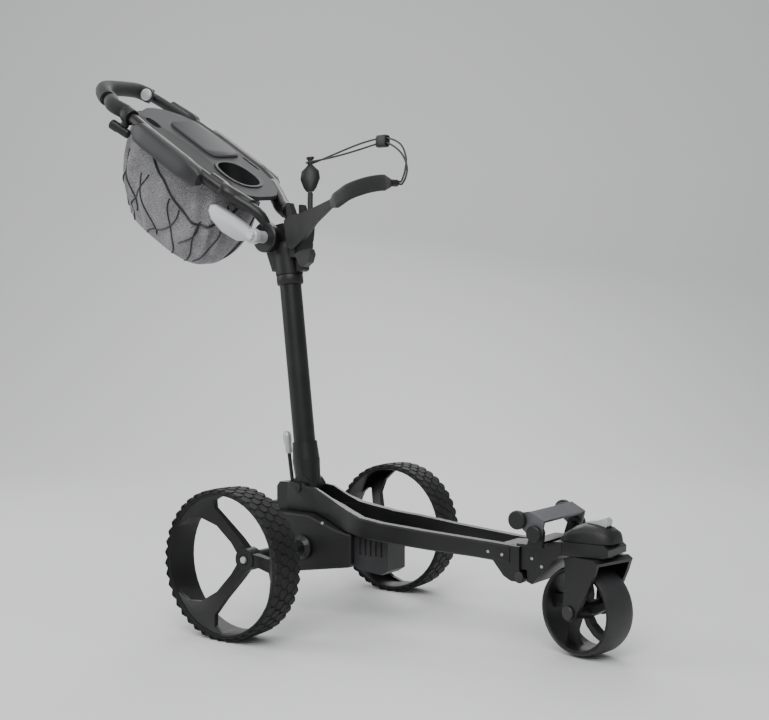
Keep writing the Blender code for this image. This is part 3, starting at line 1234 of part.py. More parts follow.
# ---- assembly -----------------------------------------------------------------------------------
def standOverOrigin():
    """Move every frame so that the middle of the cart's box is over the origin."""
    bpy.context.view_layer.update()
    graph = bpy.context.evaluated_depsgraph_get()
    low = math.inf
    high = -math.inf
    for item in bpy.context.scene.objects:
        if item.type not in {"MESH", "CURVE"} or item.hide_render:
            continue
        solid = item.evaluated_get(graph)
        mesh = solid.to_mesh()
        for vertex in mesh.vertices:
            x = (solid.matrix_world @ vertex.co).x
            low = min(low, x)
            high = max(high, x)
        solid.to_mesh_clear()
    for empty in frames.values():
        empty.location.x -= (low + high) / 2


def main():
    clearScene()
    addFrame("chassis", Vector((0, 0, 0)))
    addFrame("mast", mastPin)
    addFrame("handle", handlePivot)
    addFrame("nose", Vector((railEndAhead, 0, nosePinHeight)))
    for side, label in ((-1, "right"), (1, "left")):
        rearWheel(side, label)
        rearAxle(side, label)
        hubButton(side, label)
    mainFrame()
    driveHousing()
    motorBlock()
    brakePedal()
    crossPin("mast_pin", mastPinAhead, mastPinHeight, baseHalfWidth, "chassis")
    crossPin("nose_pin", railEndAhead, nosePinHeight, railSpreadFront - 0.0015, "chassis")
    mast()
    headLatch()
    foldLever()
    path = handleFrame()
    gripSleeve(path)
    tray()
    cupHolder()
    trayLid()
    for side, label in ((-1, "right"), (1, "left")):
        armPanel(side, label, path)
    netHoop()
    netBag()
    handleButton(path)
    clampAndKnob(path)
    tiltLever()
    cradle()
    cradleLever()
    strap = bagStrap()
    cordLock()
    cordClip(strap)
    elasticCord("elastic_cord", cordPath)
    nose()
    noseCover()
    wheelCatch()
    bagRest()
    caster()
    standOverOrigin()


main()
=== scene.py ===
import json
import math
import bmesh
import bpy
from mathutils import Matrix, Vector
from mathutils.bvhtree import BVHTree


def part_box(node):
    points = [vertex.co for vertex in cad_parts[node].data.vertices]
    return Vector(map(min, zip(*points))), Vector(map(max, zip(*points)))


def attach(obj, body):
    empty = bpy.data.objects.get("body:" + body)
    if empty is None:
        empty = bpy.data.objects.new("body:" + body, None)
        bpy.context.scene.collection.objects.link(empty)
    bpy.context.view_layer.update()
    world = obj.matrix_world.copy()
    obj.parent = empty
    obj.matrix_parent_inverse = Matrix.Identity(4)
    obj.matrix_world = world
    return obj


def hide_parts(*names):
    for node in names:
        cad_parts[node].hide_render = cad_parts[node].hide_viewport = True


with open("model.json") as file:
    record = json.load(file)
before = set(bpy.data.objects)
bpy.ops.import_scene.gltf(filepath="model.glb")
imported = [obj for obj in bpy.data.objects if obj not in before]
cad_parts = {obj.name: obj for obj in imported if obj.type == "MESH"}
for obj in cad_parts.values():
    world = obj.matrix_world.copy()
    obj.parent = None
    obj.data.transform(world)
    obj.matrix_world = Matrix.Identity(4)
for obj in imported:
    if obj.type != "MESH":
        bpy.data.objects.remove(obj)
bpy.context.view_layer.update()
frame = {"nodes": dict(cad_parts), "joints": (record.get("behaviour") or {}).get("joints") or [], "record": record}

nodeBody = {node: body for body, group in frame["record"]["behaviour"]["bodies"].items() for node in group}
nodeSlot = {entry["node"]: entry["material_slot"] for entry in frame["record"]["subparts"]}


# Where things are, taken from the joints of the frame
def jointAt(name):
    return Vector(next(joint["pos_m"] for joint in frame["joints"] if joint["name"] == name))


def jointAxis(name):
    return Vector(next(joint["axis"] for joint in frame["joints"] if joint["name"] == name))


handlePivot = jointAt("handle_tilt")
handleAlong = jointAxis("tray_lid_open").normalized()
handleUp = Vector(frame["record"]["mounts"][0]["axis"]).normalized()
handleAcross = handleAlong.cross(handleUp).normalized()
handleLift = 0.055
frameShift = jointAt("wheel_left_spin").x


def onHandle(along, across, up):
    return handlePivot + handleAlong * along + handleAcross * across + handleUp * (up + handleLift)


# Materials
def newMaterial(name):
    material = bpy.data.materials.new(name)
    material.use_nodes = True
    return material, material.node_tree, material.node_tree.nodes["Principled BSDF"]


def link(tree, source, output, target, socket):
    tree.links.new(source.outputs[output], target.inputs[socket])


def addNode(tree, kind, **values):
    made = tree.nodes.new(kind)
    for name, value in values.items():
        if name in made.inputs:
            made.inputs[name].default_value = value
        else:
            setattr(made, name, value)
    return made


def objectPlace(tree, scale=(1, 1, 1)):
    place = addNode(tree, "ShaderNodeTexCoord")
    mapping = addNode(tree, "ShaderNodeMapping", Scale=scale)
    link(tree, place, "Object", mapping, "Vector")
    return mapping


def tintBetween(tree, shader, factor, output, dark, light, low=0.35, high=0.65):
    ramp = addNode(tree, "ShaderNodeValToRGB")
    ramp.color_ramp.elements[0].position = low
    ramp.color_ramp.elements[1].position = high
    ramp.color_ramp.elements[0].color = (*dark, 1)
    ramp.color_ramp.elements[1].color = (*light, 1)
    link(tree, factor, output, ramp, "Fac")
    link(tree, ramp, "Color", shader, "Base Color")
    return ramp


def roughBetween(tree, shader, factor, output, low, high):
    spread = addNode(tree, "ShaderNodeMapRange")
    spread.inputs["To Min"].default_value = low
    spread.inputs["To Max"].default_value = high
    link(tree, factor, output, spread, "Value")
    link(tree, spread, "Result", shader, "Roughness")


def bumpFrom(tree, shader, factor, output, strength, distance):
    bump = addNode(tree, "ShaderNodeBump", Strength=strength, Distance=distance)
    link(tree, factor, output, bump, "Height")
    link(tree, bump, "Normal", shader, "Normal")


def surface(name, look):
    # Broad colour variation from one noise, fine grain in the bump from another
    material, tree, shader = newMaterial(name)
    colour = look["colour"]
    spread = look.get("spread", 0.18)
    broad = addNode(tree, "ShaderNodeTexNoise", Scale=look.get("broad", 14.0), Detail=4.0)
    link(tree, objectPlace(tree), "Vector", broad, "Vector")
    dark = [value * (1 - spread) for value in colour]
    light = [min(1.0, value * (1 + spread)) for value in colour]
    tintBetween(tree, shader, broad, "Fac", dark, light)
    roughBetween(tree, shader, broad, "Fac", look["rough"] - 0.06, look["rough"] + 0.06)
    kind = look.get("grainKind", "ShaderNodeTexNoise")
    grain = addNode(tree, kind, Scale=look.get("grain", 900.0))
    link(tree, objectPlace(tree, look.get("stretch", (1, 1, 1))), "Vector", grain, "Vector")
    output = "Distance" if kind == "ShaderNodeTexVoronoi" else "Fac"
    bumpFrom(tree, shader, grain, output, look.get("bump", 0.25), look.get("depth", 0.0003))
    shader.inputs["Metallic"].default_value = look.get("metallic", 0.0)
    shader.inputs["Specular IOR Level"].default_value = look.get("specular", 0.5)
    shader.inputs["Coat Weight"].default_value = look.get("coat", 0.0)
    shader.inputs["Coat Roughness"].default_value = 0.25
    shader.inputs["Sheen Weight"].default_value = look.get("sheen", 0.0)
    return material


looks = {
    "satinFrame": {"colour": (0.0075, 0.0075, 0.0080), "rough": 0.38, "grain": 1400.0, "bump": 0.12,
                   "coat": 0.05, "specular": 0.42},
    "mouldedBlack": {"colour": (0.0095, 0.0095, 0.0100), "rough": 0.48, "grain": 1100.0, "bump": 0.28,
                     "specular": 0.42},
    "mouldedGrey": {"colour": (0.020, 0.020, 0.0215), "rough": 0.46, "grain": 1000.0, "bump": 0.25},
    "silverPaint": {"colour": (0.50, 0.505, 0.51), "rough": 0.36, "metallic": 0.35, "grain": 1300.0,
                    "bump": 0.10, "spread": 0.06},
    "brushedSteel": {"colour": (0.50, 0.50, 0.51), "rough": 0.30, "metallic": 1.0, "grain": 350.0,
                     "stretch": (1, 9, 1), "bump": 0.12, "spread": 0.10},
    "tyreRubber": {"colour": (0.0100, 0.0100, 0.0105), "rough": 0.66, "grain": 700.0, "bump": 0.45,
                   "specular": 0.35, "spread": 0.30},
    "casterRubber": {"colour": (0.019, 0.019, 0.0195), "rough": 0.52, "grain": 600.0, "bump": 0.35,
                     "spread": 0.20},
    "foamGrip": {"colour": (0.0110, 0.0110, 0.0115), "rough": 0.70, "grain": 520.0, "bump": 0.75,
                 "depth": 0.0006, "grainKind": "ShaderNodeTexVoronoi", "sheen": 0.15},
    "plateGrey": {"colour": (0.085, 0.085, 0.092), "rough": 0.42, "grain": 900.0, "bump": 0.2,
                  "spread": 0.10},
}
finishes = {name: surface(name, look) for name, look in looks.items()}
print("plain finishes made:", len(finishes))

trayLook = {"dark": (0.014, 0.014, 0.015), "light": (0.046, 0.046, 0.049), "seamAcross": -0.020, "bow": 0.9,
            "seamBlur": 0.0012, "middleAlong": 0.30, "grain": 900.0, "rough": (0.50, 0.66), "specular": 0.32}


def trayTwoTone():
    # The near half is darker; the seam between the halves bows along the tray
    material, tree, shader = newMaterial("trayTwoTone")
    place = addNode(tree, "ShaderNodeTexCoord")
    offset = addNode(tree, "ShaderNodeVectorMath", operation="SUBTRACT")
    offset.inputs[1].default_value = onHandle(trayLook["middleAlong"], 0, 0)
    link(tree, place, "Object", offset, 0)
    across = addNode(tree, "ShaderNodeVectorMath", operation="DOT_PRODUCT")
    across.inputs[1].default_value = handleAcross
    along = addNode(tree, "ShaderNodeVectorMath", operation="DOT_PRODUCT")
    along.inputs[1].default_value = handleAlong
    for part in (across, along):
        link(tree, offset, "Vector", part, 0)
    square = addNode(tree, "ShaderNodeMath", operation="POWER")
    square.inputs[1].default_value = 2.0
    size = addNode(tree, "ShaderNodeMath", operation="ABSOLUTE")
    link(tree, along, "Value", size, 0)
    link(tree, size, "Value", square, 0)
    bowed = addNode(tree, "ShaderNodeMath", operation="MULTIPLY_ADD")
    bowed.inputs[1].default_value = trayLook["bow"]
    link(tree, square, "Value", bowed, 0)
    link(tree, across, "Value", bowed, 2)
    split = addNode(tree, "ShaderNodeMapRange")
    split.inputs["From Min"].default_value = trayLook["seamAcross"]
    split.inputs["From Max"].default_value = trayLook["seamAcross"] + trayLook["seamBlur"]
    link(tree, bowed, "Value", split, "Value")
    tintBetween(tree, shader, split, "Result", trayLook["dark"], trayLook["light"], 0.05, 0.95)
    grain = addNode(tree, "ShaderNodeTexNoise", Scale=trayLook["grain"], Detail=3.0)
    link(tree, objectPlace(tree), "Vector", grain, "Vector")
    bumpFrom(tree, shader, grain, "Fac", 0.3, 0.0003)
    roughBetween(tree, shader, grain, "Fac", *trayLook["rough"])
    shader.inputs["Specular IOR Level"].default_value = trayLook["specular"]
    return material


finishes["trayTwoTone"] = trayTwoTone()

netLook = {"thread": (0.30, 0.295, 0.31), "gapColour": (0.020, 0.020, 0.022), "cells": 330.0,
           "stains": 26.0, "stainShare": 0.55, "rough": 0.85, "sheen": 0.2}


def netMesh():
    # Threads between the cells of a fine net, with darker gaps and a little slack
    material, tree, shader = newMaterial("netMesh")
    cells = addNode(tree, "ShaderNodeTexVoronoi", Scale=netLook["cells"], feature="DISTANCE_TO_EDGE")
    link(tree, objectPlace(tree, (1, 1, 0.75)), "Vector", cells, "Vector")
    ramp = tintBetween(tree, shader, cells, "Distance", netLook["thread"], netLook["gapColour"], 0.10, 0.34)
    broad = addNode(tree, "ShaderNodeTexNoise", Scale=netLook["stains"], Detail=5.0)
    link(tree, objectPlace(tree), "Vector", broad, "Vector")
    shade = addNode(tree, "ShaderNodeMix", data_type="RGBA", blend_type="MULTIPLY")
    shade.inputs[0].default_value = netLook["stainShare"]
    link(tree, ramp, "Color", shade, 6)
    link(tree, broad, "Fac", shade, 7)
    tree.links.new(shade.outputs[2], shader.inputs["Base Color"])
    bumpFrom(tree, shader, cells, "Distance", 0.6, 0.0006)
    shader.inputs["Roughness"].default_value = netLook["rough"]
    shader.inputs["Sheen Weight"].default_value = netLook["sheen"]
    return material


finishes["netMesh"] = netMesh()


def wovenCloth(name, colour, threads, rough):
    # Over-and-under threads from two crossed bands that follow the piece's own UV map
    material, tree, shader = newMaterial(name)
    place = addNode(tree, "ShaderNodeUVMap", uv_map="weave")
    heights = []
    for direction in ("X", "Y"):
        band = addNode(tree, "ShaderNodeTexWave", bands_direction=direction, Scale=threads, Distortion=0.4)
        link(tree, place, "UV", band, "Vector")
        heights.append(band)
    crossed = addNode(tree, "ShaderNodeMath", operation="MULTIPLY")
    link(tree, heights[0], "Fac", crossed, 0)
    link(tree, heights[1], "Fac", crossed, 1)
    tintBetween(tree, shader, crossed, "Value", [value * 0.55 for value in colour], colour, 0.1, 0.7)
    bumpFrom(tree, shader, crossed, "Value", 0.6, 0.0005)
    shader.inputs["Roughness"].default_value = rough
    shader.inputs["Sheen Weight"].default_value = 0.25
    return material


finishes["webbing"] = wovenCloth("webbing", (0.014, 0.014, 0.015), 260.0, 0.80)
finishes["braidedCord"] = wovenCloth("braidedCord", (0.018, 0.018, 0.019), 420.0, 0.70)
print("materials made:", len(finishes))


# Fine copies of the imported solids: merged, with rounded edges and smooth round faces
slotFinish = {
    "black_frame": "satinFrame", "black_plastic": "mouldedBlack", "dark_grey_plastic": "mouldedGrey",
    "tray_plastic": "trayTwoTone", "silver_metal": "silverPaint", "steel": "brushedSteel",
    "tyre_rubber": "tyreRubber", "caster_rubber": "casterRubber", "foam_grip": "foamGrip",
}
ownFinish = {"rest_plate": "plateGrey", "hub_button_right": "silverPaint", "hub_button_left": "silverPaint",
             "mast_pin": "satinFrame", "nose_pin": "mouldedGrey", "tray_lid": "trayTwoTone",
             "axle_left": "satinFrame", "axle_right": "satinFrame", "caster_axle": "mouldedGrey",
             "rest_knob_left": "mouldedBlack", "rest_knob_right": "mouldedBlack",
             "rest_roller_left": "mouldedBlack", "rest_roller_right": "mouldedBlack"}
edgeWidths = {"default": 0.0007, "nose_cover": 0.0022, "tray_body": 0.0014, "arm_panel_right": 0.0012,
              "arm_panel_left": 0.0012, "drive_housing": 0.0018, "main_frame": 0.0012, "tilt_lever": 0.0016,
              "mast_head": 0.0012, "cradle_base": 0.0012, "motor_block": 0.0010, "nose_arm": 0.0012}
edgeLook = {"weld": 0.00001, "flat": math.radians(0.6), "sharp": math.radians(38), "segments": 2}
softNodes = {"net_bag", "bag_strap", "elastic_cord"}


def camelName(node):
    first, *rest = node.split("_")
    return first + "".join(word.capitalize() for word in rest)


def fineCopy(node, width):
    mesh = bmesh.new()
    mesh.from_mesh(frame["nodes"][node].data)
    bmesh.ops.remove_doubles(mesh, verts=mesh.verts, dist=edgeLook["weld"])
    bmesh.ops.dissolve_limit(mesh, angle_limit=edgeLook["flat"], verts=mesh.verts, edges=mesh.edges)
    data = bpy.data.meshes.new(camelName(node))
    mesh.to_mesh(data)
    mesh.free()
    data.shade_smooth()
    data.set_sharp_from_angle(angle=edgeLook["sharp"])
    piece = bpy.data.objects.new(camelName(node), data)
    bpy.context.scene.collection.objects.link(piece)
    bevel = piece.modifiers.new("edges", "BEVEL")
    bevel.width = width
    bevel.segments = edgeLook["segments"]
    bevel.limit_method = "ANGLE"
    bevel.angle_limit = edgeLook["sharp"]
    bevel.harden_normals = True
    return piece


def dress(piece, finish, body):
    piece.data.materials.clear()
    piece.data.materials.append(finishes[finish])
    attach(piece, body)


for node in sorted(frame["nodes"]):
    if node in softNodes:
        continue
    piece = fineCopy(node, edgeWidths.get(node, edgeWidths["default"]))
    finish = ownFinish.get(node, slotFinish.get(nodeSlot[node], "mouldedBlack"))
    dress(piece, finish, nodeBody[node])
    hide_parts(node)
print("fine pieces:", len(frame["nodes"]) - len(softNodes))


# Geometry Nodes: helpers for the trees below
def startTree(name, inputs):
    tree = bpy.data.node_groups.new(name, "GeometryNodeTree")
    for label, (kind, value) in inputs.items():
        made = tree.interface.new_socket(name=label, in_out="INPUT", socket_type=kind)
        if value is not None:
            made.default_value = value
    tree.interface.new_socket(name="Geometry", in_out="OUTPUT", socket_type="NodeSocketGeometry")
    return tree, tree.nodes.new("NodeGroupInput"), tree.nodes.new("NodeGroupOutput")


def sums(tree, operation, first, second=None, third=None):
    made = tree.nodes.new("ShaderNodeMath")
    made.operation = operation
    for index, value in enumerate((first, second, third)):
        if value is None:
            continue
        if isinstance(value, (int, float)):
            made.inputs[index].default_value = value
        else:
            tree.links.new(value, made.inputs[index])
    return made.outputs[0]


def endTree(tree, shape, material, output):
    real = tree.nodes.new("GeometryNodeRealizeInstances")
    paint = tree.nodes.new("GeometryNodeSetMaterial")
    paint.inputs["Material"].default_value = material
    tree.links.new(shape, real.inputs["Geometry"])
    link(tree, real, "Geometry", paint, "Geometry")
    link(tree, paint, "Geometry", output, "Geometry")


def growPiece(name, tree, values, body, seats=None):
    carrier = bpy.data.objects.new(name + "Carrier", seats or bpy.data.meshes.new(name + "Carrier"))
    bpy.context.scene.collection.objects.link(carrier)
    modifier = carrier.modifiers.new("grow", "NODES")
    modifier.node_group = tree
    for item in tree.interface.items_tree:
        if item.in_out == "INPUT" and item.name in values:
            modifier[item.identifier] = values[item.name]
    depsgraph = bpy.context.evaluated_depsgraph_get()
    data = bpy.data.meshes.new_from_object(carrier.evaluated_get(depsgraph))
    carrier.modifiers.remove(modifier)
    bpy.data.objects.remove(carrier)
    data.name = name
    piece = bpy.data.objects.new(name, data)
    bpy.context.scene.collection.objects.link(piece)
    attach(piece, body)


treadLook = {"rows": 4, "around": 42, "blockRadius": 0.0112, "height": 0.0030, "sink": 0.0004, "drop": 0.0009,
             "taper": 0.86, "corners": 6, "shoulder": 0.4, "overhang": 0.002}


def treadTree():
    # Six-sided blocks in staggered rows around a wheel whose axis lies along Y
    tree, given, output = startTree("treadBlocks", {
        "Around": ("NodeSocketInt", 30), "Rows": ("NodeSocketInt", 4), "Radius": ("NodeSocketFloat", 0.14),
        "Width": ("NodeSocketFloat", 0.06), "Drop": ("NodeSocketFloat", 0.001),
        "Block": ("NodeSocketFloat", 0.01), "Height": ("NodeSocketFloat", 0.003),
        "Centre": ("NodeSocketVector", (0, 0, 0))})
    total = sums(tree, "MULTIPLY", given.outputs["Around"], given.outputs["Rows"])
    points = tree.nodes.new("GeometryNodePoints")
    tree.links.new(total, points.inputs["Count"])
    index = tree.nodes.new("GeometryNodeInputIndex").outputs["Index"]
    row = sums(tree, "FLOOR", sums(tree, "DIVIDE", index, given.outputs["Around"]))
    column = sums(tree, "MODULO", index, given.outputs["Around"])
    shift = sums(tree, "MULTIPLY", sums(tree, "MODULO", row, 2.0), 0.5)
    turn = sums(tree, "DIVIDE", sums(tree, "ADD", column, shift), given.outputs["Around"])
    angle = sums(tree, "MULTIPLY", turn, 2 * math.pi)
    last = sums(tree, "SUBTRACT", given.outputs["Rows"], 1.0)
    side = sums(tree, "SUBTRACT", sums(tree, "DIVIDE", row, last), 0.5)
    across = sums(tree, "MULTIPLY", side, given.outputs["Width"])
    # The outer rows sit lower, on the shoulders
    edge = sums(tree, "GREATER_THAN", sums(tree, "ABSOLUTE", side), treadLook["shoulder"])
    lowered = sums(tree, "MULTIPLY", edge, given.outputs["Drop"])
    reach = sums(tree, "SUBTRACT", given.outputs["Radius"], lowered)
    place = tree.nodes.new("ShaderNodeCombineXYZ")
    tree.links.new(sums(tree, "MULTIPLY", sums(tree, "SINE", angle), reach), place.inputs["X"])
    tree.links.new(across, place.inputs["Y"])
    tree.links.new(sums(tree, "MULTIPLY", sums(tree, "COSINE", angle), reach), place.inputs["Z"])
    centred = tree.nodes.new("ShaderNodeVectorMath")
    tree.links.new(place.outputs[0], centred.inputs[0])
    link(tree, given, "Centre", centred, 1)
    moved = tree.nodes.new("GeometryNodeSetPosition")
    link(tree, points, "Points", moved, "Geometry")
    link(tree, centred, "Vector", moved, "Position")
    block = tree.nodes.new("GeometryNodeMeshCone")
    block.inputs["Vertices"].default_value = treadLook["corners"]
    link(tree, given, "Block", block, "Radius Bottom")
    narrow = sums(tree, "MULTIPLY", given.outputs["Block"], treadLook["taper"])
    tree.links.new(narrow, block.inputs["Radius Top"])
    link(tree, given, "Height", block, "Depth")
    pointed = tree.nodes.new("GeometryNodeTransform")
    pointed.inputs["Rotation"].default_value = (0, 0, math.pi / 2)
    pointed.inputs["Translation"].default_value = (0, 0, -treadLook["height"] / 2)
    link(tree, block, "Mesh", pointed, "Geometry")
    turned = tree.nodes.new("ShaderNodeCombineXYZ")
    tree.links.new(angle, turned.inputs["Y"])
    spread = tree.nodes.new("GeometryNodeInstanceOnPoints")
    link(tree, moved, "Geometry", spread, "Points")
    link(tree, pointed, "Geometry", spread, "Instance")
    link(tree, turned, "Vector", spread, "Rotation")
    endTree(tree, spread.outputs["Instances"], finishes["tyreRubber"], output)
    return tree


treadGroup = treadTree()
for label in ("right", "left"):
    low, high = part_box("tyre_rear_" + label)
    centre = (low + high) / 2
    values = {"Around": treadLook["around"], "Rows": treadLook["rows"], "Block": treadLook["blockRadius"],
              "Radius": (high.z - low.z) / 2 + treadLook["sink"], "Height": treadLook["height"],
              "Drop": treadLook["drop"],
              "Width": (high.y - low.y) - 2 * treadLook["blockRadius"] + treadLook["overhang"],
              "Centre": centre}
    growPiece("treadBlocks" + label.capitalize(), treadGroup, values, "wheel_" + label)
print("tread blocks made")


screwLook = {"head": 0.0034, "rise": 0.0016, "recess": 0.0017, "depth": 0.0011,
             "sides": 24, "crown": 0.82, "seat": 0.001}


def screwTree():
    # Low round heads with a hexagon recess, one on each face of the carrier, facing along its normal
    tree, given, output = startTree("screwHeads", {
        "Geometry": ("NodeSocketGeometry", None), "Head": ("NodeSocketFloat", 0.003),
        "Rise": ("NodeSocketFloat", 0.0015), "Recess": ("NodeSocketFloat", 0.0015),
        "Depth": ("NodeSocketFloat", 0.001)})
    head = tree.nodes.new("GeometryNodeMeshCone")
    head.inputs["Vertices"].default_value = screwLook["sides"]
    link(tree, given, "Head", head, "Radius Bottom")
    crown = sums(tree, "MULTIPLY", given.outputs["Head"], screwLook["crown"])
    tree.links.new(crown, head.inputs["Radius Top"])
    link(tree, given, "Rise", head, "Depth")
    socket = tree.nodes.new("GeometryNodeMeshCone")
    socket.inputs["Vertices"].default_value = 6
    link(tree, given, "Recess", socket, "Radius Bottom")
    link(tree, given, "Recess", socket, "Radius Top")
    link(tree, given, "Rise", socket, "Depth")
    lifted = tree.nodes.new("GeometryNodeTransform")
    raised = tree.nodes.new("ShaderNodeCombineXYZ")
    lift = sums(tree, "SUBTRACT", given.outputs["Rise"], given.outputs["Depth"])
    tree.links.new(lift, raised.inputs["Z"])
    link(tree, raised, "Vector", lifted, "Translation")
    link(tree, socket, "Mesh", lifted, "Geometry")
    cut = tree.nodes.new("GeometryNodeMeshBoolean")
    cut.operation = "DIFFERENCE"
    link(tree, head, "Mesh", cut, "Mesh 1")
    link(tree, lifted, "Geometry", cut, "Mesh 2")
    normal = tree.nodes.new("GeometryNodeInputNormal")
    facing = tree.nodes.new("FunctionNodeAlignRotationToVector")
    facing.axis = "Z"
    link(tree, normal, "Normal", facing, "Vector")
    faces = tree.nodes.new("GeometryNodeMeshToPoints")
    faces.mode = "FACES"
    turnSaved = tree.nodes.new("GeometryNodeStoreNamedAttribute")
    turnSaved.data_type = "QUATERNION"
    turnSaved.domain = "FACE"
    turnSaved.inputs["Name"].default_value = "facing"
    link(tree, given, "Geometry", turnSaved, "Geometry")
    link(tree, facing, "Rotation", turnSaved, "Value")
    link(tree, turnSaved, "Geometry", faces, "Mesh")
    turnRead = tree.nodes.new("GeometryNodeInputNamedAttribute")
    turnRead.data_type = "QUATERNION"
    turnRead.inputs["Name"].default_value = "facing"
    spread = tree.nodes.new("GeometryNodeInstanceOnPoints")
    link(tree, faces, "Points", spread, "Points")
    link(tree, cut, "Mesh", spread, "Instance")
    link(tree, turnRead, "Attribute", spread, "Rotation")
    endTree(tree, spread.outputs["Instances"], finishes["brushedSteel"], output)
    return tree


def placeScrews(name, tree, places, body):
    # One tiny face for each screw: its centre is the screw's seat, its normal the way the head faces
    mesh = bmesh.new()
    for place, out in places:
        side = out.orthogonal().normalized() * screwLook["seat"]
        lift = out.cross(side)
        mesh.faces.new([mesh.verts.new(place + corner) for corner in (side, lift, -side, -lift)])
    for face in mesh.faces:
        face.normal_update()
    data = bpy.data.meshes.new(name + "Seats")
    mesh.to_mesh(data)
    mesh.free()
    values = {"Head": screwLook["head"], "Rise": screwLook["rise"],
              "Recess": screwLook["recess"], "Depth": screwLook["depth"]}
    growPiece(name, tree, values, body, data)


def onSurface(node, start, towards):
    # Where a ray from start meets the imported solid, with the face's outward normal
    data = frame["nodes"][node].data
    corners = [vertex.co for vertex in data.vertices]
    skin = BVHTree.FromPolygons(corners, [face.vertices[:] for face in data.polygons])
    place, normal = skin.ray_cast(start, towards.normalized())[:2]
    return (place, normal.normalized()) if place else None


def screwSeats(node, starts, towards):
    found = [onSurface(node, Vector(start), Vector(towards)) for start in starts]
    return [seat for seat in found if seat]


screwGroup = screwTree()
# Each row: its name, the node it sits on, its body, and where the screws are, seen from one side
screwPlans = (
    ("coverScrews", "nose_arm", "nose", [(0.505, 0.178), (0.525, 0.165)]),
    ("railScrews", "main_frame", "chassis", [(0.445, 0.180), (0.415, 0.183)]),
    ("housingScrews", "drive_housing", "chassis", [(-0.105, 0.195), (0.015, 0.200), (-0.095, 0.100)]),
)
screwReach = 0.3   # the rays start this far out to the side
for name, node, body, places in screwPlans:
    for ending, side in (("", -1), ("Far", 1)):
        starts = [(x, side * screwReach, z) for x, z in places]
        seats = screwSeats(node, starts, (0, -side, 0))
        if seats:
            placeScrews(name + ending, screwGroup, seats, body)
        print(name + ending, "made:", len(seats))


# Smooth curves for cords and soft strips
def smoothRoute(points, steps):
    places = [Vector(point) for point in points]
    padded = [places[0] * 2 - places[1]] + places + [places[-1] * 2 - places[-2]]
    route = []
    for index in range(1, len(padded) - 2):
        a, b, c, d = padded[index - 1:index + 3]
        for step in range(steps):
            t = step / steps
            route.append(0.5 * (2 * b + (c - a) * t + (2 * a - 5 * b + 4 * c - d) * t * t
                                + (3 * b - a - 3 * c + d) * t ** 3))
    return route + [places[-1]]


weaveCell = 0.01   # one step of a skin, on its UV map


def loft(name, sections):
    # Skins rings of points that all have the same count, closed at both ends
    mesh = bmesh.new()
    layer = mesh.loops.layers.uv.new("weave")
    rows = [[mesh.verts.new(point) for point in section] for section in sections]
    count = len(rows[0])
    for index in range(len(rows) - 1):
        for step in range(count):
            corners = (rows[index][step], rows[index][(step + 1) % count],
                       rows[index + 1][(step + 1) % count], rows[index + 1][step])
            face = mesh.faces.new(corners)
            cells = ((index, step), (index, step + 1), (index + 1, step + 1), (index + 1, step))
            for loop, cell in zip(face.loops, cells):
                loop[layer].uv = (cell[0] * weaveCell, cell[1] * weaveCell)
    mesh.faces.new(list(reversed(rows[0])))
    mesh.faces.new(rows[-1])
    bmesh.ops.recalc_face_normals(mesh, faces=mesh.faces)
    data = bpy.data.meshes.new(name)
    mesh.to_mesh(data)
    mesh.free()
    data.shade_smooth()
    piece = bpy.data.objects.new(name, data)
    bpy.context.scene.collection.objects.link(piece)
    return piece


def roundTube(name, route, radius, sides=10):
    sections = []
    side = Vector((0, 0, 1))
    for index, place in enumerate(route):
        ahead = (route[min(index + 1, len(route) - 1)] - route[max(index - 1, 0)]).normalized()
        side = (side - ahead * side.dot(ahead)).normalized()
        lift = ahead.cross(side)
        sections.append([place + (side * math.cos(2 * math.pi * k / sides)
                                  + lift * math.sin(2 * math.pi * k / sides)) * radius for k in range(sides)])
    return loft(name, sections)


# Net bag: an open shell that hangs from the hoop under the tray, with slack folds and black piping
netLooks = {"centreAlong": 0.318, "halfLong": 0.204, "halfWide": 0.080, "depth": 0.248, "wall": 0.0016,
            "rim": -0.0125, "corner": 2.8, "shrink": 0.42, "shrinkPower": 2.2, "fallPower": 1.35,
            "belly": 0.20, "hang": 0.78, "tuck": 0.20, "lean": 0.085, "around": 168, "levels": 44,
            "foldDepth": 0.0046, "folds": 15, "foldDrift": 2.4, "pipe": 0.0031}


def netPoint(turn, t, inset=0.0, proud=0.0):
    # A point of the bag: turn goes round the rim, and t from 0 at the rim to 1 at the bottom
    size = 1.0 - netLooks["shrink"] * t ** netLooks["shrinkPower"]
    drop = netLooks["depth"] * (1 - (1 - t) ** netLooks["fallPower"])
    halfLong = (netLooks["halfLong"] - inset) * size
    bulge = 1 + netLooks["belly"] * math.sin(math.pi * min(1, 1.3 * t))
    halfWide = (netLooks["halfWide"] - inset) * size * bulge
    fold = math.sin(netLooks["folds"] * turn + netLooks["foldDrift"] * math.sin(3 * turn + 4.0 * t))
    ripple = netLooks["foldDepth"] * (fold - 1.0) * math.sin(math.pi * min(1, t * 1.05)) ** 0.8
    power = 2 / netLooks["corner"]
    c, s = math.cos(turn), math.sin(turn)
    along = math.copysign(abs(c) ** power, c) * (halfLong + ripple + proud)
    across = math.copysign(abs(s) ** power, s) * (halfWide + ripple + proud)
    place = onHandle(netLooks["centreAlong"] + along, across, netLooks["rim"])
    sag = Vector((0, 0, -1)) * drop * netLooks["hang"]
    return place + sag - handleUp * drop * netLooks["tuck"] + handleAlong * netLooks["lean"] * t


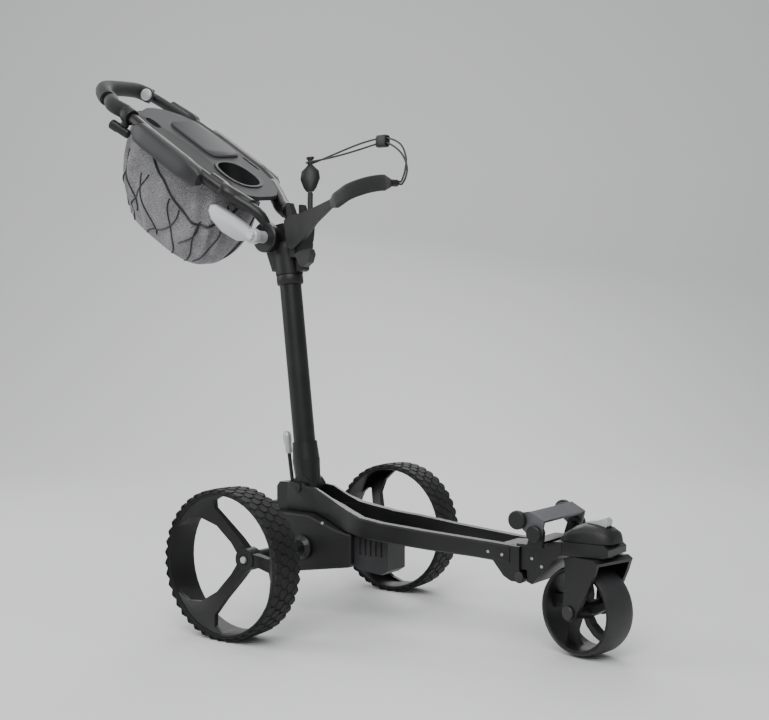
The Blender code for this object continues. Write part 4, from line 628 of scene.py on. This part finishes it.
def makeNet():
    around, levels = netLooks["around"], netLooks["levels"]
    turns = [2 * math.pi * k / around for k in range(around)]
    outer = [[netPoint(turn, level / levels) for turn in turns] for level in range(levels + 1)]
    inner = [[netPoint(turn, level / levels, netLooks["wall"]) for turn in turns]
             for level in range(levels + 1)]
    lift = handleUp * netLooks["wall"]
    lining = [[point + lift for point in ring] for ring in inner]
    net = loft("netBag", list(reversed(outer)) + lining)
    dress(net, "netMesh", "handle")
    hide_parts("net_bag")


makeNet()

pipeLook = {"rimAt": 0.03, "rimSteps": 120, "foldSteps": 40, "foldWaves": 3.0, "foldProud": 0.0010,
            "foldShare": 0.62, "seamSteps": 60, "seamAt": 0.07, "seamDip": 0.30, "seamTurn": 1.55,
            "proud": 0.0012, "sides": 8}
seamStarts = (-2.95, 0.45)
# Each drawn-in fold: where it starts round the rim, how far it wanders, and its start and end down the bag
netFolds = ((-2.60, 0.14, 0.10, 0.86), (-2.36, -0.12, 0.33, 0.97), (-2.12, 0.16, 0.36, 0.70),
            (-1.86, -0.16, 0.30, 0.98), (-1.66, 0.20, 0.35, 0.95), (-1.44, -0.14, 0.30, 0.84),
            (-1.22, 0.24, 0.26, 0.96), (-1.00, -0.20, 0.30, 0.74), (-0.80, 0.16, 0.20, 0.92),
            (-0.40, -0.18, 0.08, 0.85), (0.55, 0.20, 0.10, 0.90), (0.95, -0.16, 0.34, 0.96),
            (1.35, 0.18, 0.36, 0.80), (1.75, -0.20, 0.34, 0.97), (2.15, 0.16, 0.30, 0.90),
            (2.75, -0.15, 0.08, 0.88))


def foldRoute(turn, wander, top, bottom):
    steps = pipeLook["foldSteps"]
    return [netPoint(turn + wander * math.sin(pipeLook["foldWaves"] * k / steps + turn),
                     top + (bottom - top) * k / steps, proud=pipeLook["foldProud"]) for k in range(steps + 1)]


def seamRoute(start):
    # A seam that dips below the rim on one long side
    steps = pipeLook["seamSteps"]
    return [netPoint(start + pipeLook["seamTurn"] * k / steps,
                     pipeLook["seamAt"] + pipeLook["seamDip"] * math.sin(math.pi * k / steps) ** 0.8,
                     proud=pipeLook["proud"]) for k in range(steps + 1)]


def makePiping():
    rounds = pipeLook["rimSteps"]
    rim = [netPoint(2 * math.pi * k / rounds, pipeLook["rimAt"], proud=pipeLook["proud"])
           for k in range(rounds + 1)]
    pipes = [(rim, 1.0)]
    pipes += [(foldRoute(*fold), pipeLook["foldShare"]) for fold in netFolds]
    pipes += [(seamRoute(start), 1.0) for start in seamStarts]
    for number, (route, share) in enumerate(pipes):
        pipe = roundTube(f"netPiping{number}", route, netLooks["pipe"] * share, pipeLook["sides"])
        dress(pipe, "webbing", "handle")


makePiping()
print("net bag made")


# Sleeves round the handle's arms: foam legs below the grip, and moulded covers above the pivot
sleeveLook = {
    "grip": {"radius": 0.0176, "from": 0.470, "to": 0.560, "finish": "foamGrip", "slot": "foam_grip"},
    "arm": {"radius": 0.0172, "from": 0.060, "to": 0.172, "finish": "satinFrame", "slot": "black_frame"},
}
sleeveShape = {"offSide": 0.03, "nearest": 24, "spans": 4, "steps": 5, "sides": 28, "leastRise": 0.004}


def middleOf(rings):
    return sum((point for at, point in rings), Vector()) / max(1, len(rings))


def armMiddles(side, low, high):
    # The middle of the tube at even steps along the handle, on one side of it, from its nearest points
    rings = []
    for vertex in frame["nodes"]["handle_frame"].data.vertices:
        away = vertex.co - handlePivot
        if away.dot(handleAcross) * side > sleeveShape["offSide"]:
            rings.append((away.dot(handleAlong), vertex.co.copy()))
    route = []
    for step in range(sleeveShape["spans"] + 1):
        along = low + (high - low) * step / sleeveShape["spans"]
        near = sorted(rings, key=lambda entry: abs(entry[0] - along))[:sleeveShape["nearest"]]
        drift = sum(at for at, point in near) / len(near)
        below = [entry for entry in near if entry[0] < drift]
        above = [entry for entry in near if entry[0] >= drift]
        heading = middleOf(above) - middleOf(below)
        rise = heading.dot(handleAlong)
        middle = middleOf(near)
        if abs(rise) > sleeveShape["leastRise"]:
            middle = middle + heading * ((along - drift) / rise)
        route.append(middle)
    return route


def makeSleeves():
    for kind, look in sleeveLook.items():
        for side, label in ((-1, "Right"), (1, "Left")):
            path = smoothRoute(armMiddles(side, look["from"], look["to"]), sleeveShape["steps"])
            sleeve = roundTube(kind + "Sleeve" + label, path, look["radius"], sleeveShape["sides"])
            dress(sleeve, look["finish"], "handle")


makeSleeves()
print("sleeves made")


# Padded strap on the right arm of the cradle
def inWorld(points):
    return [Vector((x + frameShift, y, z)) for x, y, z in points]


strapLook = {"halfWide": 0.0165, "thick": 0.0050, "quilt": 0.0006, "sections": 3, "steps": 16, "sides": 20,
             "narrow": 0.55, "widen": 4}
strapRoute = inWorld([(0.105, -0.0985, 0.8580), (0.128, -0.1013, 0.8680), (0.152, -0.0996, 0.8800),
                      (0.178, -0.0830, 0.8910), (0.196, -0.0580, 0.8980), (0.205, -0.0320, 0.9000)])


def makeStrap():
    route = smoothRoute(strapRoute, strapLook["steps"])
    sections = []
    for index, place in enumerate(route):
        ahead = (route[min(index + 1, len(route) - 1)] - route[max(index - 1, 0)]).normalized()
        out = ahead.cross(Vector((0, 0, 1))).normalized()
        lift = out.cross(ahead).normalized()
        quilt = abs(math.sin(math.pi * strapLook["sections"] * index / len(route)))
        puff = strapLook["thick"] + strapLook["quilt"] * quilt
        toEnd = min(index, len(route) - 1 - index)
        taper = min(1.0, strapLook["narrow"] + strapLook["widen"] * toEnd / len(route))
        ring = []
        for k in range(strapLook["sides"]):
            angle = 2 * math.pi * k / strapLook["sides"]
            c, s = math.cos(angle), math.sin(angle)
            ring.append(place + lift * math.copysign(abs(c) ** 0.5, c) * strapLook["halfWide"] * taper
                        + out * math.copysign(abs(s) ** 0.8, s) * puff * taper)
        sections.append(ring)
    strap = loft("bagStrap", sections)
    dress(strap, "webbing", "cradle")
    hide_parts("bag_strap")


makeStrap()

# Elastic cord from the strap's lock, round the clip and back
cordLook = {"radius": 0.0021, "steps": 8, "sides": 12}
cordRoute = inWorld([
    (0.2130, -0.0140, 0.9040), (0.2146, -0.0070, 0.9060), (0.2130, 0.0080, 0.9300),
    (0.2040, 0.0240, 0.9590), (0.1780, 0.0420, 0.9900), (0.1342, 0.0601, 1.0093),
    (0.0958, 0.0709, 1.0127), (0.0480, 0.0820, 1.0100), (0.0000, 0.0910, 1.0030),
    (-0.0500, 0.0965, 0.9930), (-0.0860, 0.0980, 0.9850), (-0.1022, 0.0972, 0.9815),
    (-0.1117, 0.0877, 0.9810), (-0.1022, 0.0782, 0.9808), (-0.0860, 0.0770, 0.9815),
    (-0.0500, 0.0785, 0.9840), (0.0000, 0.0800, 0.9900), (0.0480, 0.0765, 0.9960),
    (0.0958, 0.0709, 1.0017), (0.1342, 0.0601, 0.9983), (0.1860, 0.0330, 0.9700),
    (0.2120, 0.0160, 0.9380), (0.2185, 0.0020, 0.9140), (0.2162, -0.0070, 0.9000),
    (0.2140, -0.0140, 0.8988)])


def makeCord():
    route = smoothRoute(cordRoute, cordLook["steps"])
    cord = roundTube("elasticCord", route, cordLook["radius"], cordLook["sides"])
    dress(cord, "braidedCord", "cradle")
    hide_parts("elastic_cord")


makeCord()
print("strap and cord made")


# Camera, floor and light
view = {"at": (1.604, -1.996, 0.588), "turn": 0.624, "pitch": 0.019, "lens": 55.75, "sensor": 36.0}
stageLook = {"half": 6.0, "flat": 2.5, "bend": 1.5, "top": 4.0, "steps": 9, "under": 0.0016,
             "colour": (0.78, 0.78, 0.78, 1), "rough": 0.8}


def makeStage():
    # A floor that runs away from the camera and curves up into a backdrop
    half, flat, bend = stageLook["half"], stageLook["flat"], stageLook["bend"]
    angles = [math.radians(90 / stageLook["steps"] * k) for k in range(1, stageLook["steps"])]
    curve = [(flat + bend * math.sin(a), bend - bend * math.cos(a)) for a in angles]
    curve.append((flat + bend, bend))
    profile = [(-half, 0.0), (flat, 0.0)] + curve + [(flat + bend, stageLook["top"])]
    facing = Vector((-math.sin(view["turn"]), math.cos(view["turn"]), 0))
    beside = Vector((facing.y, -facing.x, 0))
    mesh = bmesh.new()
    rows = []
    for ahead, up in profile:
        lift = Vector((0, 0, up - stageLook["under"]))
        rows.append([mesh.verts.new(facing * ahead + beside * side + lift) for side in (-half, half)])
    for first, second in zip(rows, rows[1:]):
        mesh.faces.new((first[0], first[1], second[1], second[0]))
    bmesh.ops.recalc_face_normals(mesh, faces=mesh.faces)
    data = bpy.data.meshes.new("floor")
    mesh.to_mesh(data)
    mesh.free()
    data.shade_smooth()
    floor = bpy.data.objects.new("floor", data)
    bpy.context.scene.collection.objects.link(floor)
    material, tree, shader = newMaterial("floorPaint")
    shader.inputs["Base Color"].default_value = stageLook["colour"]
    shader.inputs["Roughness"].default_value = stageLook["rough"]
    data.materials.append(material)


makeStage()
lamps = {
    "key": {"at": (1.6, -2.6, 3.0), "size": 2.4, "power": 105},
    "fill": {"at": (-2.6, -1.6, 2.0), "size": 2.6, "power": 45},
    "back": {"at": (-1.4, 2.6, 2.6), "size": 2.2, "power": 56},
    "top": {"at": (0.2, 0.0, 3.4), "size": 3.0, "power": 34},
}
lampTarget = Vector((0, 0, 0.6))
sky = {"colour": (0.85, 0.87, 0.90, 1), "strength": 0.42}
for name, lamp in lamps.items():
    light = bpy.data.lights.new(name, "AREA")
    light.energy = lamp["power"]
    light.size = lamp["size"]
    shown = bpy.data.objects.new(name, light)
    shown.location = lamp["at"]
    shown.rotation_euler = (lampTarget - Vector(lamp["at"])).to_track_quat("-Z", "Y").to_euler()
    bpy.context.scene.collection.objects.link(shown)
world = bpy.data.worlds.new("studio")
world.use_nodes = True
world.node_tree.nodes["Background"].inputs["Color"].default_value = sky["colour"]
world.node_tree.nodes["Background"].inputs["Strength"].default_value = sky["strength"]
bpy.context.scene.world = world

camera = bpy.data.cameras.new("camera")
camera.lens = view["lens"]
camera.sensor_width = view["sensor"]
shooter = bpy.data.objects.new("camera", camera)
shooter.location = (view["at"][0] + frameShift, view["at"][1], view["at"][2])
shooter.rotation_euler = (math.pi / 2 - view["pitch"], 0, view["turn"])
bpy.context.scene.collection.objects.link(shooter)
bpy.context.scene.camera = shooter
print("stage ready")
